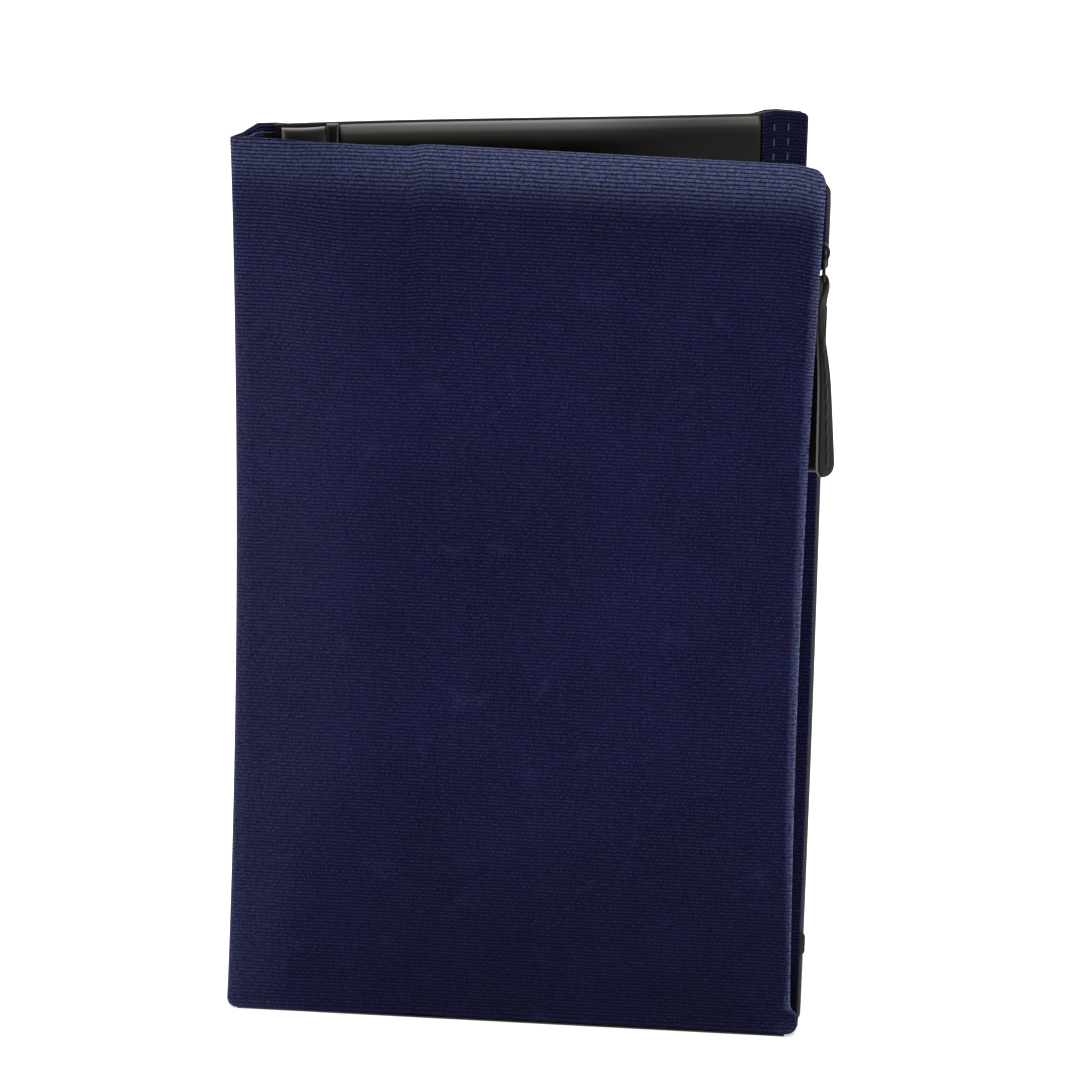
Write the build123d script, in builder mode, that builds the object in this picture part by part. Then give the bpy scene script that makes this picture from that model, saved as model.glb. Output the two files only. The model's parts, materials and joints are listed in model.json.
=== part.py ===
"""Travel document organizer: a tall canvas book with a leather interior.

It stands on its lower edges, slightly open. +Z is up, the front cover lies
parallel to XZ and faces -Y, and the spine is at -X. All sizes are millimetres.
"""
import os
from math import cos, radians, sin

from build123d import *

os.makedirs("parts", exist_ok=True)

# Driving dimensions
cover_height = 230.0
cover_width = 149.0
spine_width = 17.0
cover_angle = 24.5      # between the two covers
spine_angle = 72.8      # between the front cover and the spine
corner_radius = 6.5
fold_gap = 2.0          # bare canvas left to bend on each side of a fold
board_inset = 3.0       # the stiffeners stop short of the cover's edges
lining_inset = 1.0

# Layer thicknesses
canvas = 1.2
board = 0.8
lining = 0.8
tape = 0.5
coil_size = 0.9
zip_pocket_gap = 5.0
pocket_leather = 1.0
slot_leather = 0.5

# Depths below the outer face of the front cover
front_tape_depth = canvas
front_coil_depth = canvas
base_depth = canvas + 1.0 + zip_pocket_gap
rear_tape_depth = base_depth - tape
rear_coil_depth = base_depth - coil_size
front_board_depth = base_depth + board
front_lining_depth = front_board_depth + board
front_inside = front_lining_depth + lining

# Depths below the outer face of the back cover
back_board_depth = canvas
back_lining_depth = back_board_depth + board
back_inside = back_lining_depth + lining
document_gap = 0.8
sleeve_gap = 1.2

# The zip, which closes the outer pocket along the fore edge
mouth_edge_x = 146.4        # where the curved canvas edge starts and ends
mouth_bow = 1.4             # how far that edge curves in
zip_bottom = 10.0
zip_top = 222.0
slider_z = 201.0
slider_length = 11.0

# The puller
pull_twist = 22.0           # turn of the leather about the vertical
pull_lean = 3.5             # it hangs a little away from the edge
pull_length = 51.0
pull_thickness = 1.4
pull_end_width = 8.8
pull_neck_width = 2.4
pull_head_radius = 1.4
link_width = 4.4
link_height = 6.9
link_wire = 0.45

# The frame: the origin is below the middle of the whole object
overall_width = 153.3
puller_proud = 1.3
overall_depth = (
    puller_proud + spine_width * sin(radians(spine_angle)) + cover_width * sin(radians(cover_angle))
)
front_fold = Vector(-overall_width / 2, puller_proud - overall_depth / 2, 0)
spine_direction = Vector(cos(radians(spine_angle)), sin(radians(spine_angle)), 0)
back_fold = front_fold + spine_direction * spine_width
back_direction = Vector(cos(radians(cover_angle)), sin(radians(cover_angle)), 0)

# Each working plane lies on an outer face: local X runs away from the fold and
# local Y is up. The front plane looks outwards, the other two look inwards.
front_face = Plane(origin=front_fold, x_dir=(1, 0, 0), z_dir=(0, -1, 0))
back_face = Plane(
    origin=back_fold, x_dir=back_direction, z_dir=(back_direction.Y, -back_direction.X, 0)
)
spine_face = Plane(
    origin=front_fold, x_dir=spine_direction, z_dir=(spine_direction.Y, -spine_direction.X, 0)
)
from_corner = (Align.MIN, Align.MIN)

# ---------------------------------------------------------------- back cover

with BuildPart() as back_canvas:
    with BuildSketch(back_face) as outline:
        with Locations((fold_gap, 0)):
            Rectangle(cover_width - fold_gap, cover_height, align=from_corner)
        fillet(outline.vertices().group_by(Axis.X)[-1], radius=corner_radius)
    extrude(amount=canvas)
back_canvas.part.label = "back_canvas"
export_step(back_canvas.part, "parts/back_canvas.step")

with BuildPart() as back_board:
    with BuildSketch(back_face.offset(back_board_depth)):
        with Locations((2 * board_inset, board_inset)):
            Rectangle(
                cover_width - 3 * board_inset, cover_height - 2 * board_inset, align=from_corner
            )
    extrude(amount=board)
back_board.part.label = "back_board"
export_step(back_board.part, "parts/back_board.step")

with BuildPart() as back_lining:
    with BuildSketch(back_face.offset(back_lining_depth)) as outline:
        with Locations((board_inset, lining_inset)):
            Rectangle(
                cover_width - board_inset - 2 * lining_inset,
                cover_height - 2 * lining_inset,
                align=from_corner,
            )
        fillet(outline.vertices().group_by(Axis.X)[-1], radius=corner_radius - lining_inset)
    extrude(amount=lining)
back_lining.part.label = "back_lining"
export_step(back_lining.part, "parts/back_lining.step")

# The canvas is turned in along the fore edge and sewn down.
hem_width = 13.0
hem_inset = 0.5
with BuildPart() as back_fore_edge_hem:
    with BuildSketch(back_face.offset(back_inside)) as outline:
        with Locations((cover_width - hem_inset - hem_width, hem_inset)):
            Rectangle(hem_width, cover_height - 2 * hem_inset, align=from_corner)
        fillet(outline.vertices().group_by(Axis.X)[-1], radius=corner_radius - hem_inset)
    extrude(amount=canvas)
back_fore_edge_hem.part.label = "back_fore_edge_hem"
export_step(back_fore_edge_hem.part, "parts/back_fore_edge_hem.step")

# The large document pocket opens at the top, between two side welts.
document_left = 20.0
document_right = 134.0
document_foot = 2.0
document_top = cover_height - 1.5
foot_welt_height = 4.0
welt_width = 3.0
with BuildPart() as document_pocket_panel:
    with BuildSketch(back_face.offset(back_inside + document_gap)):
        with Locations((document_left, document_foot)):
            Rectangle(
                document_right - document_left, document_top - document_foot, align=from_corner
            )
    extrude(amount=pocket_leather)
    rolled_edges = document_pocket_panel.edges().group_by(Axis.Z)[-1].sort_by(Edge.length)[-2:]
    fillet(rolled_edges, radius=0.4)
document_pocket_panel.part.label = "document_pocket_panel"
export_step(document_pocket_panel.part, "parts/document_pocket_panel.step")

with BuildPart() as document_pocket_side_welts:
    with BuildSketch(back_face.offset(back_inside)):
        welt_foot = document_foot + foot_welt_height
        with Locations((document_left, welt_foot), (document_right - welt_width, welt_foot)):
            Rectangle(welt_width, document_top - welt_foot - 2, align=from_corner)
    extrude(amount=document_gap)
document_pocket_side_welts.part.label = "document_pocket_side_welts"
export_step(document_pocket_side_welts.part, "parts/document_pocket_side_welts.step")

with BuildPart() as document_pocket_foot_welt:
    with BuildSketch(back_face.offset(back_inside)):
        with Locations((document_left, document_foot)):
            Rectangle(document_right - document_left, foot_welt_height, align=from_corner)
    extrude(amount=document_gap)
document_pocket_foot_welt.part.label = "document_pocket_foot_welt"
export_step(document_pocket_foot_welt.part, "parts/document_pocket_foot_welt.step")

# A narrow upright band of leather covers the pocket's edge beside the sleeve.
band_left = 16.4
band_width = 3.2
with BuildPart() as inner_edge_band:
    with BuildSketch(back_face.offset(back_inside)):
        with Locations((band_left, hem_inset)):
            Rectangle(band_width, cover_height - 2 * hem_inset, align=from_corner)
    extrude(amount=document_gap + pocket_leather)
inner_edge_band.part.label = "inner_edge_band"
export_step(inner_edge_band.part, "parts/inner_edge_band.step")

# The pen sleeve is a flattened loop along the spine: a face on two welts.
sleeve_left = 4.5
sleeve_width = 11.5
sleeve_foot = 60.0
sleeve_height = cover_height - board_inset - sleeve_foot
sleeve_welt_width = 1.2
with BuildPart() as pen_sleeve_panel:
    with BuildSketch(back_face.offset(back_inside + sleeve_gap)):
        with Locations((sleeve_left, sleeve_foot)):
            Rectangle(sleeve_width, sleeve_height, align=from_corner)
    extrude(amount=pocket_leather)
pen_sleeve_panel.part.label = "pen_sleeve_panel"
export_step(pen_sleeve_panel.part, "parts/pen_sleeve_panel.step")

with BuildPart() as pen_sleeve_welts:
    with BuildSketch(back_face.offset(back_inside)):
        right_welt = sleeve_left + sleeve_width - sleeve_welt_width
        with Locations((sleeve_left, sleeve_foot), (right_welt, sleeve_foot)):
            Rectangle(sleeve_welt_width, sleeve_height, align=from_corner)
    extrude(amount=sleeve_gap)
pen_sleeve_welts.part.label = "pen_sleeve_welts"
export_step(pen_sleeve_welts.part, "parts/pen_sleeve_welts.step")

# --------------------------------------------------------------------- spine

with BuildPart() as spine_canvas:
    with BuildSketch(spine_face):
        with Locations((fold_gap, 0)):
            Rectangle(spine_width - 2 * fold_gap, cover_height, align=from_corner)
    extrude(amount=canvas)
spine_canvas.part.label = "spine_canvas"
export_step(spine_canvas.part, "parts/spine_canvas.step")

with BuildPart() as spine_stiffener:
    with BuildSketch(spine_face.offset(canvas)):
        with Locations((board_inset, board_inset)):
            Rectangle(
                spine_width - 2 * board_inset, cover_height - 2 * board_inset, align=from_corner
            )
    extrude(amount=board)
spine_stiffener.part.label = "spine_stiffener"
export_step(spine_stiffener.part, "parts/spine_stiffener.step")

with BuildPart() as spine_lining:
    with BuildSketch(spine_face.offset(canvas + board)):
        with Locations((board_inset, lining_inset)):
            Rectangle(
                spine_width - 2 * board_inset, cover_height - 2 * lining_inset, align=from_corner
            )
    extrude(amount=lining)
spine_lining.part.label = "spine_lining"
export_step(spine_lining.part, "parts/spine_lining.step")

# ------------------------------------------------- front cover and its pocket

# The outer canvas has a free edge that curves in: it is the pocket's mouth.
with BuildPart() as front_canvas_panel:
    with BuildSketch(front_face) as outline:
        with BuildLine():
            top_corner = (mouth_edge_x, cover_height)
            foot_corner = (mouth_edge_x, 0)
            Polyline(foot_corner, (fold_gap, 0), (fold_gap, cover_height), top_corner)
            ThreePointArc(top_corner, (mouth_edge_x - mouth_bow, cover_height / 2), foot_corner)
        make_face()
        fillet(outline.vertices().group_by(Axis.X)[-1], radius=corner_radius)
    extrude(amount=-canvas)
front_canvas_panel.part.label = "front_canvas_panel"
export_step(front_canvas_panel.part, "parts/front_canvas_panel.step")

inner_left = 6.5
pocket_seam_end = 141.0
seam_height = 7.0
spine_seam_width = 4.0
with BuildPart() as zip_pocket_head_seam:
    with BuildSketch(front_face.offset(-canvas)):
        with Locations((inner_left, cover_height - lining_inset - seam_height)):
            Rectangle(pocket_seam_end - inner_left, seam_height, align=from_corner)
    extrude(amount=-(base_depth - canvas))
zip_pocket_head_seam.part.label = "zip_pocket_head_seam"
export_step(zip_pocket_head_seam.part, "parts/zip_pocket_head_seam.step")

with BuildPart() as zip_pocket_foot_seam:
    with BuildSketch(front_face.offset(-canvas)):
        with Locations((inner_left, lining_inset)):
            Rectangle(pocket_seam_end - inner_left, seam_height, align=from_corner)
    extrude(amount=-(base_depth - canvas))
zip_pocket_foot_seam.part.label = "zip_pocket_foot_seam"
export_step(zip_pocket_foot_seam.part, "parts/zip_pocket_foot_seam.step")

with BuildPart() as zip_pocket_spine_seam:
    with BuildSketch(front_face.offset(-canvas)):
        seam_foot = lining_inset + seam_height
        with Locations((inner_left, seam_foot)):
            Rectangle(spine_seam_width, cover_height - 2 * seam_foot, align=from_corner)
    extrude(amount=-(base_depth - canvas))
zip_pocket_spine_seam.part.label = "zip_pocket_spine_seam"
export_step(zip_pocket_spine_seam.part, "parts/zip_pocket_spine_seam.step")

# The pocket's inner wall shows past the mouth. Both layers have a notch in
# their edge where the open zip's slider is parked.
base_panel_end = cover_width - 0.8
notch_depth = 2.4
notch_foot = 195.0
notch_height = 11.0
with BuildPart() as front_base_panel:
    with BuildSketch(front_face.offset(-base_depth)) as outline:
        with Locations((inner_left, lining_inset)):
            Rectangle(
                base_panel_end - inner_left, cover_height - 2 * lining_inset, align=from_corner
            )
        fillet(outline.vertices().group_by(Axis.X)[-1], radius=corner_radius - lining_inset)
        with Locations((cover_width - notch_depth, notch_foot)):
            Rectangle(notch_depth, notch_height, align=from_corner, mode=Mode.SUBTRACT)
    extrude(amount=-board)
front_base_panel.part.label = "front_base_panel"
export_step(front_base_panel.part, "parts/front_base_panel.step")

front_board_width = 132.0
with BuildPart() as front_board:
    with BuildSketch(front_face.offset(-front_board_depth)):
        with Locations((inner_left + 1.5, board_inset)):
            Rectangle(front_board_width, cover_height - 2 * board_inset, align=from_corner)
    extrude(amount=-board)
front_board.part.label = "front_board"
export_step(front_board.part, "parts/front_board.step")

with BuildPart() as front_lining:
    with BuildSketch(front_face.offset(-front_lining_depth)) as outline:
        with Locations((inner_left, hem_inset)):
            Rectangle(cover_width - inner_left, cover_height - 2 * hem_inset, align=from_corner)
        fillet(outline.vertices().group_by(Axis.X)[-1], radius=corner_radius - hem_inset)
        with Locations((cover_width - notch_depth, notch_foot)):
            Rectangle(notch_depth, notch_height, align=from_corner, mode=Mode.SUBTRACT)
    extrude(amount=-lining)
front_lining.part.label = "front_lining"
export_step(front_lining.part, "parts/front_lining.step")

# --------------------------------------------------- front cover: inner slots

# The passport pocket holds a booklet 88 wide and 125 tall, open at the top.
passport_left = 26.0
passport_foot = 6.0
passport_width = 104.0
passport_height = 108.0
with BuildPart() as passport_pocket_panel:
    with BuildSketch(front_face.offset(-(front_inside + slot_leather))):
        with Locations((passport_left, passport_foot)):
            Rectangle(passport_width, passport_height, align=from_corner)
    extrude(amount=-pocket_leather)
passport_pocket_panel.part.label = "passport_pocket_panel"
export_step(passport_pocket_panel.part, "parts/passport_pocket_panel.step")

with BuildPart() as passport_pocket_side_welts:
    with BuildSketch(front_face.offset(-front_inside)):
        right_welt = passport_left + passport_width - welt_width
        welt_foot = passport_foot + welt_width
        with Locations((passport_left, welt_foot), (right_welt, welt_foot)):
            Rectangle(welt_width, passport_height - welt_width, align=from_corner)
    extrude(amount=-slot_leather)
passport_pocket_side_welts.part.label = "passport_pocket_side_welts"
export_step(passport_pocket_side_welts.part, "parts/passport_pocket_side_welts.step")

with BuildPart() as passport_pocket_foot_welt:
    with BuildSketch(front_face.offset(-front_inside)):
        with Locations((passport_left, passport_foot)):
            Rectangle(passport_width, welt_width, align=from_corner)
    extrude(amount=-slot_leather)
passport_pocket_foot_welt.part.label = "passport_pocket_foot_welt"
export_step(passport_pocket_foot_welt.part, "parts/passport_pocket_foot_welt.step")

# Three card slots step down, each in front of the one above it.
card_width = 96.0
card_height = 54.0
card_step = 13.0
card_foot = 120.0
for layer, name in enumerate(["card_slot_upper", "card_slot_middle", "card_slot_lower"]):
    with BuildPart() as card_slot:
        with BuildSketch(front_face.offset(-(front_inside + layer * slot_leather))):
            with Locations((passport_left + 4, card_foot + (2 - layer) * card_step)):
                Rectangle(card_width, card_height, align=from_corner)
        extrude(amount=-slot_leather)
    card_slot.part.label = name
    export_step(card_slot.part, f"parts/{name}.step")

# ----------------------------------------------------------------------- zip

rear_tape_end = 143.0
front_tape_end = 143.9
coil_width = 1.4
zip_length = zip_top - zip_bottom
with BuildPart() as zip_tape_front:
    with BuildSketch(front_face.offset(-front_tape_depth)):
        with Locations((pocket_seam_end, zip_bottom)):
            Rectangle(front_tape_end - pocket_seam_end, zip_length, align=from_corner)
    extrude(amount=-tape)
zip_tape_front.part.label = "zip_tape_front"
export_step(zip_tape_front.part, "parts/zip_tape_front.step")

with BuildPart() as zip_tape_rear:
    with BuildSketch(front_face.offset(-rear_tape_depth)):
        with Locations((pocket_seam_end, zip_bottom)):
            Rectangle(rear_tape_end - pocket_seam_end, zip_length, align=from_corner)
    extrude(amount=-tape)
zip_tape_rear.part.label = "zip_tape_rear"
export_step(zip_tape_rear.part, "parts/zip_tape_rear.step")

with BuildPart() as zip_coil_front:
    with BuildSketch(front_face.offset(-front_coil_depth)):
        with Locations((front_tape_end, zip_bottom)):
            Rectangle(coil_width, zip_length, align=from_corner)
    extrude(amount=-coil_size)
    fillet(zip_coil_front.edges().filter_by(Axis.Z), radius=0.3)
zip_coil_front.part.label = "zip_coil_front"
export_step(zip_coil_front.part, "parts/zip_coil_front.step")

with BuildPart() as zip_coil_rear:
    with BuildSketch(front_face.offset(-rear_coil_depth)):
        with Locations((rear_tape_end, zip_bottom)):
            Rectangle(coil_width, zip_length, align=from_corner)
    extrude(amount=-coil_size)
    fillet(zip_coil_rear.edges().filter_by(Axis.Z), radius=0.3)
zip_coil_rear.part.label = "zip_coil_rear"
export_step(zip_coil_rear.part, "parts/zip_coil_rear.step")

# Each stop bridges the two coils.
stop_depth = rear_coil_depth - (front_coil_depth + coil_size)
for name, stop_z in {"zip_top_stop": 214.0, "zip_bottom_stop": 12.5}.items():
    with BuildPart() as zip_stop:
        with BuildSketch(front_face.offset(-(front_coil_depth + coil_size))):
            with Locations((rear_tape_end + 0.1, stop_z)):
                Rectangle(2, 3.5, align=from_corner)
        extrude(amount=-stop_depth)
    zip_stop.part.label = name
    export_step(zip_stop.part, f"parts/{name}.step")

# The end of the zip is capped by a small leather tab between the layers.
with BuildPart() as zip_end_tab:
    with BuildSketch(front_face.offset(-front_board_depth)):
        with Locations((pocket_seam_end, 20)):
            Rectangle(9.3, 6, align=from_corner)
    extrude(amount=-board)
    fillet(zip_end_tab.edges().filter_by(Axis.Y).group_by(Axis.X)[-1], radius=1.2)
zip_end_tab.part.label = "zip_end_tab"
export_step(zip_end_tab.part, "parts/zip_end_tab.step")

# The slider: two plates joined by a post that runs between the coils.
slider_depth = (front_coil_depth + coil_size + rear_coil_depth) / 2
inner_plate_x = 141.4
outer_plate_x = 145.9
plate = 0.9
post_start = 4.0
with BuildPart() as slider_body:
    for plate_x, plate_width in ((outer_plate_x, 4.8), (inner_plate_x, 3.3)):
        with BuildSketch(front_face.offset(-(slider_depth - plate_width / 2))):
            with Locations((plate_x, slider_z)):
                Rectangle(plate, slider_length, align=from_corner)
        extrude(amount=-plate_width)
    with BuildSketch(front_face.offset(-(slider_depth - 0.8))):
        with Locations((inner_plate_x, slider_z + post_start)):
            Rectangle(
                outer_plate_x - inner_plate_x, slider_length - post_start, align=from_corner
            )
    extrude(amount=-1.6)
    fillet(slider_body.edges().filter_by(Axis.X).group_by(Axis.Z)[0], radius=0.8)
slider_body.part.label = "slider_body"
export_step(slider_body.part, "parts/slider_body.step")

# A half-ring bail on the slider's outer plate.
bail_x = outer_plate_x + plate
bail_z = slider_z + 6.0
bail_thickness = 1.2
with BuildPart() as slider_bail:
    with BuildSketch(front_face.offset(-(slider_depth - bail_thickness / 2))):
        with Locations((bail_x, bail_z)):
            Circle(2.7)
            Circle(1.9, mode=Mode.SUBTRACT)
            Rectangle(10, 10, align=(Align.MAX, Align.CENTER), mode=Mode.SUBTRACT)
    extrude(amount=-bail_thickness)
slider_bail.part.label = "slider_bail"
export_step(slider_bail.part, "parts/slider_bail.step")

# -------------------------------------------------------------------- puller

# A wire link hangs in the bail; its top bar is the puller's hinge line.
link_x = bail_x + 1.3
link_depth = 3.9
link_middle = front_face.from_local_coords(Vector(link_x, bail_z - link_height / 2, -link_depth))
link_plane = Plane(origin=link_middle, x_dir=(0, 1, 0), z_dir=(1, 0, 0))
with BuildPart() as pull_link:
    with BuildLine(link_plane):
        loop = FilletPolyline(
            (-link_width / 2, -link_height / 2),
            (link_width / 2, -link_height / 2),
            (link_width / 2, link_height / 2),
            (-link_width / 2, link_height / 2),
            radius=1.2,
            close=True,
        )
    with BuildSketch(Plane(origin=loop @ 0, z_dir=loop % 0)):
        Circle(link_wire)
    sweep()
pull_link.part.label = "pull_link"
export_step(pull_link.part, "parts/pull_link.step")

# The leather loops round the link's lower bar and widens towards its end.
twist = radians(pull_twist)
lean = radians(pull_lean)
bar_middle = link_middle - Vector(0, 0, link_height / 2)
pull_plane = Plane(
    origin=bar_middle,
    x_dir=(sin(twist), cos(twist), 0),
    z_dir=(cos(twist) * cos(lean), -sin(twist) * cos(lean), sin(lean)),
)
bar_line = Plane(origin=bar_middle, z_dir=(0, 1, 0))
with BuildPart() as pull_leather:
    with BuildSketch(pull_plane) as outline:
        with BuildLine():
            neck = pull_neck_width / 2
            end = pull_end_width / 2
            Polyline((-neck, 0), (neck, 0), (end, -pull_length), (-end, -pull_length), close=True)
        make_face()
        fillet(outline.vertices().group_by(Axis.Y)[0], radius=3)
    extrude(amount=pull_thickness / 2, both=True)
    with BuildSketch(Plane(origin=bar_middle, z_dir=pull_plane.x_dir)):
        Circle(pull_head_radius)
    extrude(amount=neck + 0.1, both=True)
    with BuildSketch(bar_line):
        Circle(link_wire + 0.15)
    extrude(amount=8, both=True, mode=Mode.SUBTRACT)
pull_leather.part.label = "pull_leather"
export_step(pull_leather.part, "parts/pull_leather.step")

# A row of stitches down the middle of the leather, on both faces.
stitch_pitch = 4.2
stitch_length = 3.0
stitch_width = 0.6
stitch_count = 8
stitch_start = 16.0
stitch_proud = 0.25
with BuildPart() as pull_stitches:
    for face_offset in (pull_thickness / 2, -pull_thickness / 2 - stitch_proud):
        with BuildSketch(pull_plane.offset(face_offset)):
            for step in range(stitch_count):
                with Locations((0, -stitch_start - step * stitch_pitch)):
                    Rectangle(stitch_width, stitch_length)
        extrude(amount=stitch_proud)
pull_stitches.part.label = "pull_stitches"
export_step(pull_stitches.part, "parts/pull_stitches.step")
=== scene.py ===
"""A travel document organizer in navy canvas and black leather, standing half open.

Lengths in this script are in millimetres, and angles given as constants are in degrees.
Meshes are scaled to metres as they are made.
"""

import json
from bisect import bisect_left, bisect_right
from math import acos, asin, copysign, cos, exp, hypot, pi, radians, sin, sqrt, tan

import bpy
from mathutils import Matrix, Vector


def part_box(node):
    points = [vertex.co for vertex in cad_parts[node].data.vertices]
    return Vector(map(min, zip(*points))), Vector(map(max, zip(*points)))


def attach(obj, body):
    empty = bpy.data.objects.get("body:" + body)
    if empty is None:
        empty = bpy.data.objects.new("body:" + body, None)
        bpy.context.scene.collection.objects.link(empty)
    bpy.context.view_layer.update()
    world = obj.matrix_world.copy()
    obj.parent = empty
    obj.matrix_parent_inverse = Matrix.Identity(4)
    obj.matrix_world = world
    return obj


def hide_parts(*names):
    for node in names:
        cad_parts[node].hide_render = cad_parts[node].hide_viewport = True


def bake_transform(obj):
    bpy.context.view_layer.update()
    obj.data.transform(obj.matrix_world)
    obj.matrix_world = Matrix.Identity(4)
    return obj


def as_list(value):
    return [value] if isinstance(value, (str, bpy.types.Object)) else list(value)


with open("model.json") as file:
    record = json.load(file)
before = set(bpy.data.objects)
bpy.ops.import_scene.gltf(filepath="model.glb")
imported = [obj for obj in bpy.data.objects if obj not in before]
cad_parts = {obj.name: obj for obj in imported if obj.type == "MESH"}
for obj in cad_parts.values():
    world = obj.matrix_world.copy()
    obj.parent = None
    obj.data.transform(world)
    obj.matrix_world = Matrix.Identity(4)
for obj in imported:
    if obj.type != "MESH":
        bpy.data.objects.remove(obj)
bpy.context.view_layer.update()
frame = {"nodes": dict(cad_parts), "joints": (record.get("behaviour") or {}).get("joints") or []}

MM = 0.001


# ---- where things are

joints = {joint["name"]: joint for joint in frame["joints"]}


def mm_box(node):
    low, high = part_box(node)
    return low / MM, high / MM


FRONT_FOLD = Vector(joints["front_fold"]["pos_m"][:2]) / MM
BACK_FOLD = Vector(joints["back_fold"]["pos_m"][:2]) / MM
OPENING = -joints["back_fold"]["range_deg"][0]
HEIGHT = mm_box("back_canvas")[1].z


class Side:
    """A flat face of a body: along runs from its fold, inward goes through it."""

    def __init__(self, body, origin, along, inward):
        self.body = body
        self.origin = origin
        self.along = along
        self.inward = inward

    def at(self, distance, depth):
        return self.origin + self.along * distance + self.inward * depth

    def point(self, distance, height, depth):
        flat = self.at(distance, depth)
        return Vector((flat.x, flat.y, height))


def unit(degrees):
    return Vector((cos(radians(degrees)), sin(radians(degrees))))


FRONT = Side("front_cover", FRONT_FOLD, unit(0), unit(90))
BACK = Side("back_cover", BACK_FOLD, unit(OPENING), unit(OPENING - 90))
SPINE_ALONG = (BACK_FOLD - FRONT_FOLD).normalized()
SPINE = Side("spine", FRONT_FOLD, SPINE_ALONG, Vector((SPINE_ALONG.y, -SPINE_ALONG.x)))
SPINE_WIDTH = (BACK_FOLD - FRONT_FOLD).length

COVER_WIDTH = 149.0
CANVAS = 1.2
LINING = (2.0, 2.8)
POCKET_DEPTH = 7.2


# ---- small maths

def clamp(value, low=0.0, high=1.0):
    return max(low, min(high, value))


def smooth(value, start, end):
    t = clamp((value - start) / (end - start))
    return t * t * (3 - 2 * t)


def hump(distance, width):
    """1 at no distance, falling away like a bell within about two widths."""
    return exp(-((distance / width) ** 2))


def share_of(value, span):
    """How far a value has come through a span, from 0 to 1."""
    return clamp((value - span[0]) / (span[1] - span[0]))


def quarter_turn(count):
    """The angles that cut a quarter turn into equal steps."""
    return [pi / 2 * k / count for k in range(count + 1)]


def spread(start, end, step):
    """Evenly spaced values from start to end, about step apart."""
    count = max(1, round(abs(end - start) / step))
    return [start + (end - start) * i / count for i in range(count + 1)]


def corner_cut(distance, radius):
    """How far a round corner takes an edge in, at a distance from the other edge."""
    if distance >= radius:
        return 0.0
    return radius - sqrt(max(0.0, radius**2 - (radius - distance) ** 2))


def lumps(s, z, seed, size=38.0):
    """A slow, smooth unevenness from -1 to 1, like cloth that has been carried about."""
    a = sin(s / size * 2.1 + seed * 1.7 + 0.6 * sin(z / size * 1.3 + seed))
    b = sin(z / size * 1.6 + seed * 2.9 + 0.8 * sin(s / size * 1.1 - seed))
    c = sin((s + z) / size * 1.2 + seed * 0.7)
    return (a + b + c) / 3


# ---- meshes

CLOTH_MAP = "cloth"
# The wear attribute holds rubbing and painted highlights above zero, and painted shade below
# zero.
WEAR_AND_LIGHT = "wear_and_light"


def add_object(name, data):
    obj = bpy.data.objects.new(name, data)
    bpy.context.scene.collection.objects.link(obj)
    return obj


def outward_normals(mesh):
    """Turns a closed mesh so that its faces look out."""
    volume = 0.0
    for polygon in mesh.polygons:
        corners = [mesh.vertices[v].co for v in polygon.vertices]
        for k in range(1, len(corners) - 1):
            volume += corners[0].dot(corners[k].cross(corners[k + 1]))
    if volume < 0:
        mesh.flip_normals()


def make_object(name, points, faces, uvs=None, wear_and_light=None):
    """A smooth mesh object from millimetre points, with one uv and one wear value each, painted
    light included.

    With uvs it's a closed piece, whose faces are turned to look out.
    """
    mesh = bpy.data.meshes.new(name)
    mesh.from_pydata([Vector(p) * MM for p in points], [], faces)
    if uvs:
        layer = mesh.uv_layers.new(name=CLOTH_MAP)
        for loop in mesh.loops:
            layer.data[loop.index].uv = uvs[loop.vertex_index]
        outward_normals(mesh)
    if wear_and_light:
        attribute = mesh.attributes.new(WEAR_AND_LIGHT, "FLOAT", "POINT")
        for index, value in enumerate(wear_and_light):
            attribute.data[index].value = value
    mesh.polygons.foreach_set("use_smooth", [True] * len(mesh.polygons))
    mesh.update()
    return add_object(name, mesh)


EDGE_RINGS = 4
CLOSEST_LINES = 0.1


def edge_rings(radius):
    """Distances in from an edge, and the share of full thickness there."""
    return [(radius * (1 - cos(t)), sin(t)) for t in quarter_turn(EDGE_RINGS)]


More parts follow.
